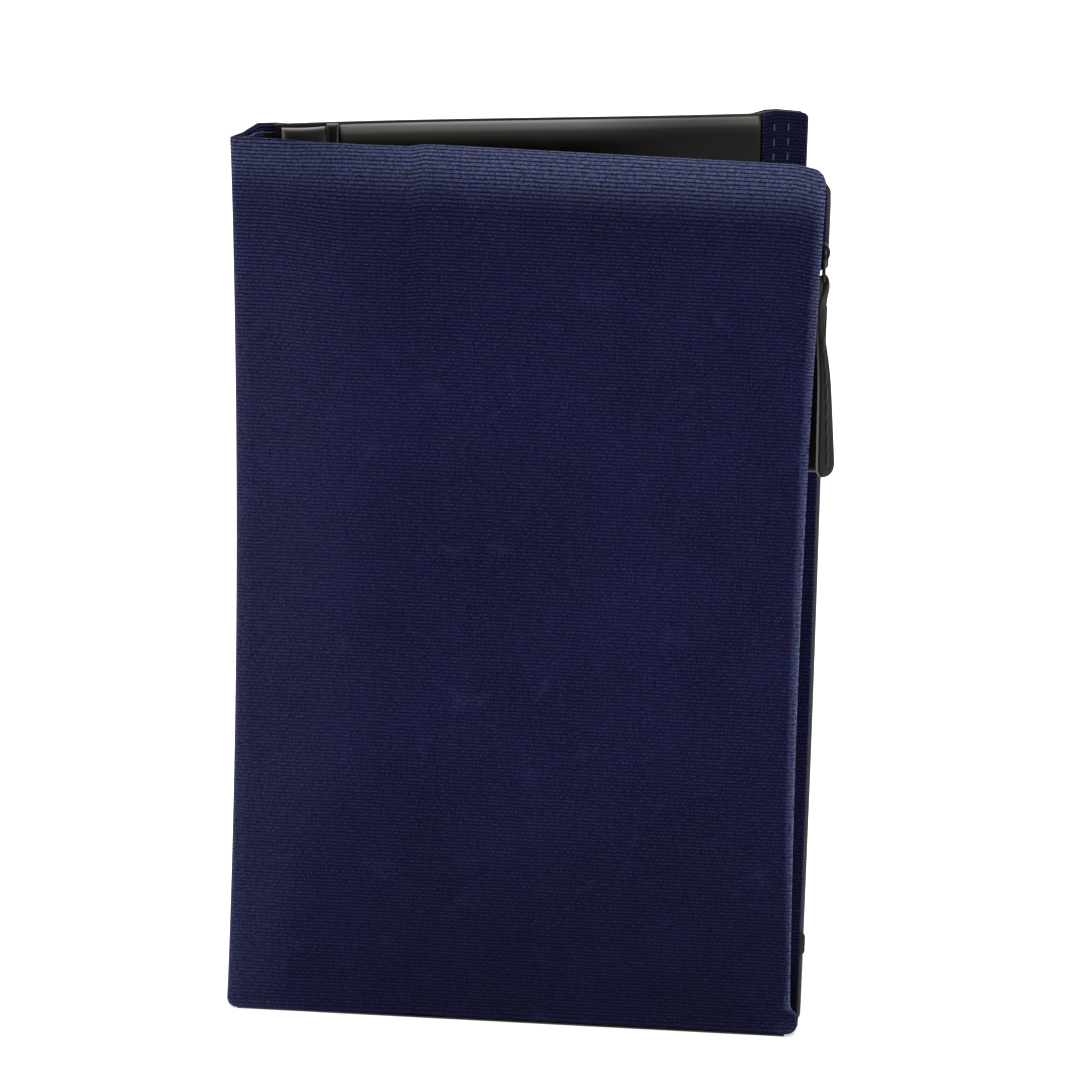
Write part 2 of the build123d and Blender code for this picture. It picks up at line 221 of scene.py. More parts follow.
def slab(
    name, place, thickness, s_values, z_values, s_ends=None, z_ends=None, edge=None,
    worn=lambda s, z: 0.0,
):
    """A closed sheet with rounded edges.

    place(s, z, depth) gives a point, s and z being where it is on the flat cloth.
    s_values and z_values are the grid lines. s_ends(z) and z_ends(s) move the ends of
    the rows and columns, edge is the rounding's width and worn(s, z) the wear, with painted
    light.
    """
    edge = edge or thickness / 2
    rings = edge_rings(edge)
    s_reach, z_reach = (s_values[0], s_values[-1]), (z_values[0], z_values[-1])

    def lines(values):
        low = [(values[0] + d, share) for d, share in rings]
        high = [(values[-1] - d, share) for d, share in reversed(rings)]
        first, last = low[-1][0] + CLOSEST_LINES, high[0][0] - CLOSEST_LINES
        return low + [(v, 1.0) for v in values[1:-1] if first < v < last] + high

    columns, rows = lines(s_values), lines(z_values)

    def fit(value, reach, new_reach):
        """Keeps the edge rings' widths and stretches what is between them."""
        (low, high), (new_low, new_high) = reach, new_reach
        inner_low, inner_high = low + edge, high - edge
        if value <= inner_low:
            return new_low + (value - low)
        if value >= inner_high:
            return new_high - (high - value)
        t = (value - inner_low) / (inner_high - inner_low)
        return new_low + edge + t * (new_high - new_low - 2 * edge)

    points, uvs, wear_and_light, number = [], [], [], {}
    for skin in (-1, 1):
        for i, (s_line, s_share) in enumerate(columns):
            for j, (z_line, z_share) in enumerate(rows):
                half = thickness / 2 * min(s_share, z_share)
                if skin > 0 and half == 0:
                    number[skin, i, j] = number[-skin, i, j]
                    continue
                number[skin, i, j] = len(points)
                s = fit(s_line, s_reach, s_ends(z_line) if s_ends else s_reach)
                z = fit(z_line, z_reach, z_ends(s) if z_ends else z_reach)
                points.append(place(s, z, thickness / 2 + skin * half))
                uvs.append((s, z))
                wear_and_light.append(worn(s, z))

    faces = []
    for skin in (-1, 1):
        for i in range(len(columns) - 1):
            for j in range(len(rows) - 1):
                corners = (i, j), (i + 1, j), (i + 1, j + 1), (i, j + 1)
                faces.append([number[(skin, *corner)] for corner in corners[::-skin]])
    return make_object(name, points, faces, uvs, wear_and_light)


TUBE_SIDES = 6
SMALLEST_SHARE = 0.05


def closed_rings(count, sides):
    """The faces of a rod made of rings of points, with a flat face at each end."""
    faces = []
    for i in range(count - 1):
        for k in range(sides):
            a, b = i * sides + k, i * sides + (k + 1) % sides
            faces.append([a, b, b + sides, a + sides])
    faces.append(list(range(sides))[::-1])
    faces.append([(count - 1) * sides + k for k in range(sides)])
    return faces


def tube(name, centres, radius):
    """A closed round rod along a list of points, with domed ends."""
    rings = []
    last = len(centres) - 1
    for i, centre in enumerate(centres):
        before = centres[max(0, i - 1)]
        after = centres[min(last, i + 1)]
        rings.append((Vector(centre), (Vector(after) - Vector(before)).normalized()))
    start, start_dir = rings[0]
    end, end_dir = rings[-1]
    dome = [(0.0, 0.0), (0.3, 0.72), (0.72, 0.96)]
    profile = [(start + start_dir * radius * (a - 1), start_dir, b) for a, b in dome]
    profile += [(c, d, 1.0) for c, d in rings]
    profile += [(end - end_dir * radius * (a - 1), end_dir, b) for a, b in dome[::-1]]
    side = start_dir.orthogonal().normalized()
    points, uvs = [], []
    travelled = 0.0
    previous = profile[0][0]
    for centre, direction, share in profile:
        side = (side - direction * side.dot(direction)).normalized()
        other = direction.cross(side)
        travelled += (centre - previous).length
        previous = centre
        width = max(share, SMALLEST_SHARE) * radius
        for k in range(TUBE_SIDES):
            turn = 2 * pi * k / TUBE_SIDES
            points.append(centre + (side * cos(turn) + other * sin(turn)) * width)
            uvs.append((travelled, turn * radius))
    faces = closed_rings(len(profile), TUBE_SIDES)
    return make_object(name, points, faces, uvs, [0.0] * len(points))


def join(name, objects):
    """One object from several that share a material."""
    points, faces, uvs, wear_and_light = [], [], [], []
    for obj in objects:
        mesh = obj.data
        offset = len(points)
        layer = mesh.uv_layers[CLOTH_MAP].data
        by_vertex = {loop.vertex_index: tuple(layer[loop.index].uv) for loop in mesh.loops}
        points += [v.co / MM for v in mesh.vertices]
        uvs += [by_vertex[v.index] for v in mesh.vertices]
        wear_and_light += [mesh.attributes[WEAR_AND_LIGHT].data[v.index].value for v in mesh.vertices]
        faces += [[offset + v for v in p.vertices] for p in mesh.polygons]
        bpy.data.objects.remove(obj)
    return make_object(name, points, faces, uvs, wear_and_light)


# ---- materials

class Nodes:
    """Short ways to build one material's node tree."""

    def __init__(self, name):
        self.material = bpy.data.materials.new(name)
        self.material.use_nodes = True
        self.tree = self.material.node_tree
        self.shader = self.tree.nodes["Principled BSDF"]

    def new(self, kind, **settings):
        node = self.tree.nodes.new(kind)
        for key, value in settings.items():
            setattr(node, key, value)
        return node

    def put(self, socket, value):
        if isinstance(value, bpy.types.NodeSocket):
            self.tree.links.new(value, socket)
        else:
            socket.default_value = value

    def math(self, operation, *values):
        node = self.new("ShaderNodeMath", operation=operation)
        for socket, value in zip(node.inputs, values):
            self.put(socket, value)
        return node.outputs[0]

    def plus(self, total, *others):
        for other in others:
            total = self.math("ADD", total, other)
        return total

    def minus(self, a, b):
        return self.math("SUBTRACT", a, b)

    def times(self, a, b):
        return self.math("MULTIPLY", a, b)

    def over(self, a, b):
        return self.math("DIVIDE", a, b)

    def vector(self, x, y):
        node = self.new("ShaderNodeCombineXYZ")
        for socket, value in zip(node.inputs, (x, y)):
            self.put(socket, value)
        return node.outputs[0]

    def cloth(self):
        """Millimetres along and up the flat cloth, as two sockets and a vector."""
        node = self.new("ShaderNodeUVMap", uv_map=CLOTH_MAP)
        split = self.new("ShaderNodeSeparateXYZ")
        self.put(split.inputs[0], node.outputs["UV"])
        return split.outputs[0], split.outputs[1], node.outputs["UV"]

    def solid(self):
        """Millimetres in the object's own space, for a CAD part."""
        node = self.new("ShaderNodeTexCoord")
        scale = self.new("ShaderNodeVectorMath", operation="SCALE")
        self.put(scale.inputs[0], node.outputs["Object"])
        self.put(scale.inputs["Scale"], 1 / MM)
        return scale.outputs[0]

    def fill(self, node, **values):
        """Sets a node's inputs by name, an underscore standing for a space."""
        for name, value in values.items():
            self.put(node.inputs[name.replace("_", " ")], value)

    def noise(self, vector, scale, detail=3.0, roughness=0.55, distortion=0.0):
        node = self.new("ShaderNodeTexNoise")
        self.fill(node, Vector=vector, Scale=scale, Detail=detail)
        self.fill(node, Roughness=roughness, Distortion=distortion)
        return node.outputs["Fac"]

    def pebbles(self, vector, scale):
        node = self.new("ShaderNodeTexVoronoi", feature="SMOOTH_F1")
        self.fill(node, Vector=vector, Scale=scale)
        return node.outputs["Distance"]

    def ramp(self, value, low, high, new_low=0.0, new_high=1.0):
        node = self.new("ShaderNodeMapRange", interpolation_type="SMOOTHSTEP")
        self.fill(node, Value=value, From_Min=low, From_Max=high)
        self.fill(node, To_Min=new_low, To_Max=new_high)
        return node.outputs["Result"]

    def mix(self, factor, a, b):
        node = self.new("ShaderNodeMix", data_type="RGBA")
        self.put(node.inputs[0], factor)
        self.put(node.inputs[6], a)
        self.put(node.inputs[7], b)
        return node.outputs[2]

    def attribute(self, name):
        return self.new("ShaderNodeAttribute", attribute_name=name).outputs["Fac"]

    def bump(self, height, distance, strength):
        node = self.new("ShaderNodeBump")
        self.fill(node, Height=height, Distance=distance * MM, Strength=strength)
        self.fill(self.shader, Normal=node.outputs[0])

    def finish(self, color, roughness, **constants):
        self.fill(self.shader, Base_Color=color, Roughness=roughness, **constants)
        return self.material


def rgb(r, g, b):
    return (r, g, b, 1.0)


RIB_PITCH = 0.92
THREAD_PITCH = 0.62


def canvas_material():
    """Navy canvas: crosswise ribs of small knots, mottled, rubbed pale on folds, with painted
    light and shade.
    """
    n = Nodes("navy_canvas")
    along, up, flat = n.cloth()
    drift = n.noise(flat, 0.06, 2.0)
    wobble = n.times(drift, 0.5)
    row = n.plus(n.over(up, RIB_PITCH), wobble)
    row_number = n.math("FLOOR", row)
    in_row = n.math("FRACT", row)
    rib = n.math("SINE", n.times(in_row, pi))
    shift = n.times(n.math("MODULO", row_number, 2.0), 0.5)
    row_jitter = n.noise(n.vector(n.times(along, 0.35), row_number), 1.0, 1.0)
    knot_turn = n.plus(n.over(along, THREAD_PITCH), shift, n.times(row_jitter, 1.6))
    knot = n.math("ABSOLUTE", n.math("SINE", n.times(knot_turn, pi)))
    weave = n.times(rib, n.plus(n.times(knot, 0.50), 0.50))

    slit_place = n.noise(n.vector(n.times(along, 0.9), row_number), 1.0, 2.0)
    slit = n.times(n.ramp(slit_place, 0.5, 0.68), n.ramp(rib, 0.75, 0.25))
    slub = n.noise(n.vector(n.times(along, 0.25), n.times(up, 2.2)), 1.0)
    streak = n.noise(n.vector(n.times(along, 1.1), n.times(up, 0.06)), 1.0)
    patch = n.noise(flat, 0.028, 4.0, 0.6, 0.4)
    rub = n.noise(flat, 0.075, 5.0, 0.65, 0.6)

    deep = rgb(0.0026, 0.0026, 0.0240)
    plain = rgb(0.0062, 0.0060, 0.047)
    chalky = rgb(0.028, 0.027, 0.098)
    rubbed_and_highlit = rgb(0.118, 0.142, 0.285)
    groove_shade = rgb(0.0010, 0.0010, 0.006)
    lit = rgb(0.034, 0.034, 0.135)
    painted_shade_color = rgb(0.0015, 0.0022, 0.008)
    mottled = n.plus(n.times(patch, 0.9), n.times(slub, 0.35), n.times(streak, 0.45))
    # Painted light from above: the canvas grows lighter towards its head.
    tone = n.plus(mottled, n.times(up, 0.0009))
    color = n.mix(n.ramp(tone, 0.68, 1.25), deep, plain)
    color = n.mix(n.ramp(rub, 0.56, 0.78, 0.0, 0.55), color, chalky)
    speck = n.noise(flat, 1.9, 3.0, 0.75)
    knots_lit = n.times(n.ramp(weave, 0.40, 0.95), n.ramp(speck, 0.44, 0.64, 0.0, 0.80))
    color = n.mix(knots_lit, color, lit)
    # Above zero the wear attribute paints the canvas pale: rubbing, and painted highlights on
    # heads and edges.
    worn = n.math("MAXIMUM", n.attribute(WEAR_AND_LIGHT), 0.0)
    ragged = n.noise(flat, 1.1, 3.0, 0.7)
    worn = n.times(worn, n.ramp(ragged, 0.36, 0.58, 0.35, 1.0))
    color = n.mix(worn, color, rubbed_and_highlit)
    # Painted shade in the weave: in the grooves between ribs, deeper and wider towards the head,
    # and in slits and pinholes.
    groove_shade_noise = n.noise(n.vector(n.times(along, 0.5), row_number), 0.9, 2.0)
    groove_shade_depth = n.ramp(groove_shade_noise, 0.35, 0.65, 0.15, 0.85)
    groove_shade_depth = n.plus(groove_shade_depth, n.ramp(up, 140, 212, -0.15, 0.45))
    groove_shade_edge = n.minus(rib, n.ramp(up, 175, 222, 0.0, 0.20))
    rib_groove_shade = n.times(n.ramp(groove_shade_edge, 0.60, 0.05), n.math("MINIMUM", groove_shade_depth, 0.95))
    color = n.mix(rib_groove_shade, color, groove_shade)
    color = n.mix(n.ramp(speck, 0.52, 0.34, 0.0, 0.75), color, groove_shade)
    color = n.mix(slit, color, groove_shade)
    # Below zero the wear attribute is painted shade.
    painted_shade = n.math("MAXIMUM", n.times(n.attribute(WEAR_AND_LIGHT), -1.0), 0.0)
    color = n.mix(painted_shade, color, painted_shade_color)
    n.bump(n.plus(n.minus(weave, n.times(slit, 0.8)), n.times(speck, 0.9)), 0.25, 0.85)
    rough = n.ramp(rub, 0.3, 0.8, 0.66, 0.84)
    return n.finish(color, rough, Specular_IOR_Level=0.07)


SCUFFED_AND_HIGHLIT, PORE = rgb(0.21, 0.20, 0.185), rgb(0.002, 0.002, 0.002)


def leather_material(name, dark, light, gloss, grain, shine, from_cad=False):
    """Smooth black leather: fine pebbled grain, faint creases and uneven polish."""
    n = Nodes(name)
    place = n.solid() if from_cad else n.cloth()[2]
    pebble = n.pebbles(place, 1.9)
    pores = n.noise(place, 3.4, 4.0, 0.6)
    crease = n.noise(place, 0.11, 2.0, 0.5, 0.2)
    cloud = n.noise(place, 0.045, 3.0)
    color = n.mix(n.ramp(cloud, 0.3, 0.75), dark, light)
    color = n.mix(n.ramp(pores, 0.62, 0.42, 0.0, 0.5), color, PORE)
    # The wear attribute paints scuffs, and a painted highlight on the document pocket's head and
    # the pen sleeve's edges.
    if not from_cad:
        color = n.mix(n.attribute(WEAR_AND_LIGHT), color, SCUFFED_AND_HIGHLIT)
    height = n.plus(n.times(pebble, 0.7), n.times(pores, 0.6), n.times(crease, 0.6))
    n.bump(height, 0.10 * grain, 0.6)
    rough = n.ramp(crease, 0.25, 0.75, gloss, gloss + 0.12)
    return n.finish(color, rough, Specular_IOR_Level=shine)


def simple_material(name, pattern, dark, light, shade, relief, polish, **constants):
    """One that follows a pattern in its tone, its polish and its relief.

    shade and polish are ramps, and relief is how deep and how strong the bumps are.
    """
    n = Nodes(name)
    tone, fine, height = pattern(n)
    n.bump(height, *relief)
    color = n.mix(n.ramp(tone, *shade), dark, light)
    return n.finish(color, n.ramp(fine, *polish), **constants)


def herringbone(n):
    """Woven tape."""
    along, up, flat = n.cloth()
    lean = n.plus(n.over(along, 0.5), n.math("PINGPONG", up, 1.0))
    fuzz = n.noise(flat, 2.5, 3.0)
    weave = n.plus(n.math("SINE", n.times(lean, 2 * pi)), fuzz)
    return weave, fuzz, weave


def moulded(n):
    """Nylon with rubbed crowns."""
    fine = n.noise(n.cloth()[2], 2.0, 3.0)
    return fine, fine, fine


def brushed(n):
    """Cast metal, brushed up and down and a little scuffed."""
    stretch = n.new("ShaderNodeMapping")
    n.fill(stretch, Vector=n.solid(), Scale=(9.0, 9.0, 0.6))
    brushing = n.noise(stretch.outputs[0], 0.8, 4.0)
    scuff = n.noise(n.solid(), 0.7, 4.0, 0.65, 0.5)
    return scuff, brushing, n.plus(brushing, scuff)


def twisted(n):
    """Sewing thread."""
    along, around, flat = n.cloth()
    twist = n.plus(n.over(along, 0.28), n.over(around, 0.5))
    fuzz = n.noise(flat, 5.0, 3.0)
    ply = n.plus(n.math("SINE", n.times(twist, 2 * pi)), fuzz)
    return ply, fuzz, ply


def pressed(n):
    """Board made of pressed fibres."""
    fibre = n.noise(n.solid(), 1.6, 4.0)
    return fibre, fibre, fibre


def thread_material(name, dark, light):
    ramps = (-0.6, 1.6), (0.04, 0.7), (0.2, 0.8, 0.6, 0.8)
    return simple_material(name, twisted, dark, light, *ramps, Sheen_Weight=0.2)


# A look is a material and the slot that it goes in.
NAVY = canvas_material(), "canvas"
POCKET_LEATHER = leather_material(
    "pocket_leather", rgb(0.0028, 0.0028, 0.0025), rgb(0.0050, 0.0042, 0.0032), 0.24, 0.14, 0.13
), "leather"
LINING_LEATHER = leather_material(
    "lining_leather", rgb(0.0040, 0.0038, 0.0034), rgb(0.0070, 0.0064, 0.0054), 0.32, 0.35, 0.45
), "leather"
PULLER_LEATHER = leather_material(
    "puller_leather", rgb(0.0022, 0.0022, 0.0018), rgb(0.0044, 0.0044, 0.0036), 0.44, 0.9, 0.08
), "leather"
CAD_LEATHER = leather_material(
    "tab_leather", rgb(0.0060, 0.0060, 0.0052), rgb(0.0085, 0.0085, 0.0072), 0.42, 1.0, 0.3, True
), "leather"
WRAPPED_BOARD = LINING_LEATHER[0], "stiffener"
TAPE = simple_material(
    "zip_tape_weave", herringbone, rgb(0.004, 0.004, 0.007), rgb(0.016, 0.016, 0.024),
    (-0.8, 1.6), (0.06, 0.8), (0.2, 0.8, 0.75, 0.9), Sheen_Weight=0.15,
), "zip_tape"
COIL = simple_material(
    "zip_coil_nylon", moulded, rgb(0.004, 0.004, 0.005), rgb(0.013, 0.013, 0.016),
    (0.3, 0.8), (0.02, 0.4), (0.3, 0.8, 0.28, 0.45),
), "zip_coil"
CAD_METAL = simple_material(
    "gunmetal_cast", brushed, rgb(0.007, 0.007, 0.008), rgb(0.024, 0.023, 0.024),
    (0.35, 0.75), (0.015, 0.6), (0.25, 0.8, 0.26, 0.44), Metallic=0.92,
), "metal"
PALE_THREAD = thread_material(
    "pale_blue_thread", rgb(0.020, 0.025, 0.060), rgb(0.085, 0.100, 0.175)
), "thread"
BLACK_THREAD = thread_material(
    "black_thread", rgb(0.002, 0.002, 0.002), rgb(0.009, 0.009, 0.009)
), "thread"
BOARD = simple_material(
    "stiffener_board", pressed, rgb(0.010, 0.010, 0.012), rgb(0.035, 0.034, 0.034),
    (0.3, 0.75), (0.05, 0.6), (0.2, 0.8, 0.8, 0.95),
), "stiffener"


def dress(obj, look):
    material, slot = look
    obj.data.materials.clear()
    obj.data.materials.append(material)
    return obj


def fix(piece, body, *solids):
    """Fixes a piece to a body, in place of the CAD solids that are named."""
    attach(piece, body)
    if solids:
        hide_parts(*solids)
    return piece


# ---- a bent path

class Path:
    """A line in plan through corner points, each rounded, with the cloth on its left
    or right: side is 1 where inward is to the left of the way it runs, else -1."""

    STEP = 0.25

    def __init__(self, corners, radii, side):
        points = [Vector(corners[0])]
        for i in range(1, len(corners) - 1):
            points += self.rounded(corners[i - 1], corners[i], corners[i + 1], radii[i - 1])
        points.append(Vector(corners[-1]))
        self.side = side
        self.points = points
        self.lengths = [0.0]
        for a, b in zip(points, points[1:]):
            self.lengths.append(self.lengths[-1] + (b - a).length)
        self.total = self.lengths[-1]

    def rounded(self, before, corner, after, radius):
        into = (Vector(corner) - Vector(before)).normalized()
        out = (Vector(after) - Vector(corner)).normalized()
        turn = into.angle_signed(out)
        reach = radius * tan(abs(turn) / 2)
        start = Vector(corner) - into * reach
        sideways = Vector((into.y, -into.x)) * (1 if turn > 0 else -1)
        centre = start + sideways * radius
        count = max(4, int(abs(turn) * radius / self.STEP))
        arm = start - centre
        result = []
        for k in range(count + 1):
            c, s = cos(-turn * k / count), sin(-turn * k / count)
            result.append(centre + Vector((arm.x * c - arm.y * s, arm.x * s + arm.y * c)))
        return result

    def at(self, s):
        """The point and the inward direction at a distance along the path."""
        s = clamp(s, 0.0, self.total)
        high = bisect_right(self.lengths, s, 1, len(self.lengths) - 1)
        low = high - 1
        span = self.lengths[high] - self.lengths[low]
        t = (s - self.lengths[low]) / span if span else 0.0
        return self.points[low].lerp(self.points[high], t), self.inward(low, t)

    def inward(self, low, t):
        """Blends the normals of neighbouring stretches, so bends stay even."""
        def segment(i):
            i = max(0, min(len(self.points) - 2, i))
            way = (self.points[i + 1] - self.points[i]).normalized()
            return Vector((-way.y, way.x)) * self.side

        if (self.points[low + 1] - self.points[low]).length > 4 * self.STEP:
            return segment(low)
        near = segment(low - 1) if t < 0.5 else segment(low + 1)
        return segment(low).lerp(near, abs(t - 0.5)).normalized()

    def knots(self, step):
        """Grid lines: every bend point, and straight stretches cut to about step."""
        values = [0.0]
        for a, b in zip(self.lengths, self.lengths[1:]):
            if b - a > step:
                values += spread(a, b, step)[1:]
            elif b - values[-1] > 0.45 or b == self.total:
                values.append(b)
        return values


END_LINES = 7


def vertical(low, high, step, corner):
    """Grid lines up a sheet, closer together over the last stretch at each end."""
    near = [corner * (1 - cos(turn)) for turn in quarter_turn(END_LINES)]
    bottom = [low + d for d in near]
    top = [high - d for d in reversed(near)]
    return bottom + spread(bottom[-1], top[0], step)[1:-1] + top


# ---- outer canvas

STEP = 3.2
SPINE_BOW, SPINE_STAND_OUT, SPINE_CORNER = 2.1, 1.05, 2.4


def bow(height):
    """The spine stands out at head and foot and is pressed in between them."""
    pressed = SPINE_BOW * sin(pi * clamp(height / HEIGHT)) ** 0.8
    return pressed - SPINE_STAND_OUT + corner_cut(max(0.0, height - 0.1), SPINE_CORNER)


def bowed(point, share):
    point.x += bow(point.z) * share
    return point


# The mouth's edge is nearest the fold at mid-height, where the zip pulls it in.
MOUTH_HEIGHT, MOUTH_REACH = 105.0, 118.0
MOUTH_MIDDLE, MOUTH_FLARE = 145.9, 1.9
MOUTH_BEND = 1.8
# Below the mouth the canvas runs on round the corner to the pocket's inner wall.
JOINED_EDGE, JOINED_DEPTH = 149.4, 7.0
JOINED_LOW, JOINED_HIGH = 3.0, 8.5
HEAD_ROLL, HEAD_DEPTH = 18.0, POCKET_DEPTH - 0.2
FOOT_ROLL, FOOT_REACH, FOOT_CORNER = 2.5, 0.9, 3.0
FOOT, FOOT_SAG = 0.9, 0.6
# How far the head rises over the spine and the back cover, how far down a rise is
# spread, the head's one small tuck, and where it drops to the fore edge's corner.
SPINE_HEAD, BACK_HEAD, RISE_REACH = 1.1, 2.15, 90.0
TUCK_START, TUCK_END = 44.5, 48.0
CORNER_START = 139.0
HEM_EDGE, HEM_DEPTH = 135.5, 4.0


def front_rise(distance):
    """The head of the front cover: highest at the spine, with one small tuck."""
    near_spine = 1.7 * smooth(distance, 10, 32)
    slope = 0.0174 * max(0.0, distance - TUCK_END)
    tuck = 0.7 * smooth(distance, TUCK_START, TUCK_END)
    corner = 1.3 * smooth(distance, CORNER_START, COVER_WIDTH)
    return SPINE_HEAD - near_spine - slope + tuck - corner


def back_rise(distance):
    """The head of the back cover, also highest beside the spine."""
    hem = 0.7 * smooth(distance, HEM_EDGE - 1.5, CORNER_START)
    corner = 0.9 * smooth(distance, CORNER_START, COVER_WIDTH)
    return BACK_HEAD - 2.25 * smooth(distance, 5, 150) + hem - corner


def raised(height, rise):
    """Spreads a rise of the head over the upper part of a sheet."""
    return height + rise * smooth(height, HEIGHT - RISE_REACH, HEIGHT)


def settled(height, share):
    """The foot sags a little beside the spine."""
    return height - FOOT_SAG * share * smooth(height, 16, FOOT)


def mouth_edge(height):
    """How far the outer canvas reaches: drawn in by the zip at mid-height."""
    return MOUTH_MIDDLE + MOUTH_FLARE * ((height - MOUTH_HEIGHT) / MOUTH_REACH) ** 2


def even_turns(tall, deep, count=90):
    """Angles that share a quarter ellipse's length evenly."""
    lengths = [0.0]
    for k in range(count):
        middle = pi / 2 * (k + 0.5) / count
        step = hypot(tall * cos(middle), deep * sin(middle))
        lengths.append(lengths[-1] + step)
    return [length / lengths[-1] for length in lengths]


HEAD_TURNS = even_turns(HEAD_ROLL, HEAD_DEPTH)


def head_turn(share):
    """The angle at a share of the head roll's length."""
    share = clamp(share)
    last = len(HEAD_TURNS) - 1
    k = clamp(bisect_left(HEAD_TURNS, share), 1, last)
    low, high = HEAD_TURNS[k - 1], HEAD_TURNS[k]
    return pi / 2 * (k - 1 + (share - low) / (high - low)) / last


def front_profile(distance, height):
    """How deep the outer canvas lies and how high it is, turning in at head and foot."""
    if height > HEIGHT - HEAD_ROLL:
        turn = head_turn((height - HEIGHT + HEAD_ROLL) / HEAD_ROLL)
        reach, end = HEAD_DEPTH, HEIGHT - HEAD_ROLL * (1 - sin(turn))
    elif height < FOOT_ROLL:
        turn = pi / 2 * (FOOT_ROLL - height) / FOOT_ROLL
        reach, end = FOOT_REACH, FOOT_ROLL * (1 - sin(turn))
    else:
        return 0.0, height
    free = smooth(distance, 12, 30)
    return free * reach * (1 - cos(turn)), height + (end - height) * free


front_corners = [
    FRONT.at(JOINED_EDGE, JOINED_DEPTH),
    FRONT.at(JOINED_EDGE, 0),
    FRONT.at(0, 0),
    SPINE.at(SPINE_WIDTH / 2, 0),
]
front_path = Path(front_corners, [MOUTH_BEND, 1.8], -1)
BEND_START = JOINED_DEPTH - MOUTH_BEND
BEND_END = BEND_START + MOUTH_BEND * pi / 2


def cloth_place(distance):
    """Where on the flat cloth a distance across the cover falls."""
    past = distance - (JOINED_EDGE - MOUTH_BEND)
    if past <= 0:
        return BEND_END - past
    return BEND_END - MOUTH_BEND * asin(clamp(past / MOUTH_BEND))


def front_place(s, z, depth):
    start, inward = front_path.at(s)
    distance = start.x - FRONT_FOLD.x
    on_cover = smooth(s, front_path.total - 9, front_path.total - 14)
    low_depth, low_height = front_profile(distance, z - 0.2)
    high_depth, high_height = front_profile(distance, z + 0.2)
    turned_in, height = front_profile(distance, z)
    climb = Vector((high_depth - low_depth, high_height - low_height)).normalized()
    if on_cover <= 0:
        climb = Vector((0.0, 1.0))
        turned_in, height = 0.0, z
    puff = 0.45 * lumps(s, z, 1.0) * smooth(distance, 4, 25) * smooth(z, 0, 25)
    puff *= smooth(z, HEIGHT, HEIGHT - 30) * smooth(distance, COVER_WIDTH, COVER_WIDTH - 14)
    skin = climb.y * depth + puff
    flat = start + inward * skin + FRONT.inward * turned_in
    rise = front_rise(distance) if on_cover > 0 else SPINE_HEAD
    sag = 1 - smooth(distance, 6, 60)
    point = Vector((flat.x, flat.y, settled(raised(height - climb.x * depth, rise), sag)))
    point.x -= corner_cut(height - 0.3, FOOT_CORNER) * smooth(distance, 141, JOINED_EDGE)
    return bowed(point, 1 - smooth(distance, 2, 55))


def front_canvas_reach(z):
    """Where each row of the outer canvas starts and ends, on the flat cloth."""
    mouth = cloth_place(mouth_edge(z)) + corner_cut(HEIGHT - z, 4.5)
    joined = smooth(z, JOINED_HIGH, JOINED_LOW)
    start = mouth + (0.3 - mouth) * joined + corner_cut(z, 2.6)
    return start, front_path.total


def front_canvas_wear_and_light(s, z):
    """Rubbed pale along the mouth, the fold, the head and the lower corner, with painted light
    and shade.
    """
    distance = JOINED_EDGE - MOUTH_BEND + BEND_END - s
    # The mouth, the head and the lower corner are rubbed pale and also carry a painted
    # highlight.
    mouth = 1.1 * hump(s - front_canvas_reach(z)[0], 0.7)
    head = 0.70 * smooth(z, HEIGHT - 15, HEIGHT - 4) * (0.45 + 0.55 * smooth(distance, 10, 70))
    foot = 0.08 * smooth(z, 4, 1)
    fold = 0.30 * hump(distance + 0.5, 2.2)
    # Painted light from the left: paler towards the spine.
    shade = 0.07 * smooth(distance, 45, 8)
    corner = 0.42 * smooth(distance, 130, 148) * smooth(z, 18, 3)
    # Painted shade: darker low down, away from the spine.
    painted_shade = 0.35 * smooth(z, 70, 8) * smooth(distance, 5, 50)
    return clamp(mouth + head + foot + fold + corner + shade - painted_shade, -1.0, 1.0)


canvas_front = slab(
    "canvas_front", front_place, CANVAS, front_path.knots(STEP),
    vertical(FOOT, HEIGHT, STEP, HEAD_ROLL / 2),
    s_ends=front_canvas_reach, worn=front_canvas_wear_and_light,
)
dress(canvas_front, NAVY)

back_corners = [
    SPINE.at(SPINE_WIDTH / 2, 0),
    BACK.at(0, 0),
    BACK.at(COVER_WIDTH, 0),
    BACK.at(COVER_WIDTH, HEM_DEPTH),
    BACK.at(HEM_EDGE, HEM_DEPTH),
]
back_path = Path(back_corners, [2.2, 2.0, 2.0], -1)
BACK_START = SPINE_WIDTH / 2


def back_distance(s):
    """How far across the back cover a place on the flat cloth falls."""
    return (back_path.at(s)[0] - BACK_FOLD).dot(BACK.along)


def back_place(s, z, depth):
    start, inward = back_path.at(s)
    distance = back_distance(s)
    puff = 0.3 * lumps(s, z, 4.0) * smooth(distance, 15, 40)
    puff *= smooth(distance, COVER_WIDTH, COVER_WIDTH - 20)
    if s > BACK_START + COVER_WIDTH:
        puff = 0.0
    flat = start + inward * depth - BACK.inward * puff
    if s > BACK_START:
        rise, share = back_rise(distance), 1 - smooth(distance, 0, 6)
    else:
        rise, share = SPINE_HEAD + (BACK_HEAD - SPINE_HEAD) * s / BACK_START, 1.0
    return bowed(Vector((flat.x, flat.y, raised(z, rise))), share)


def back_canvas_height(s):
    """The canvas stops just under the lining's head, except at the hem."""
    distance = back_distance(s)
    cut = corner_cut(COVER_WIDTH - distance, 1.8) if distance > 0 else 0.0
    under = 0.9 * smooth(distance, 4, 12) * smooth(distance, 136, 130)
    return cut * 0.8, HEIGHT - under - cut


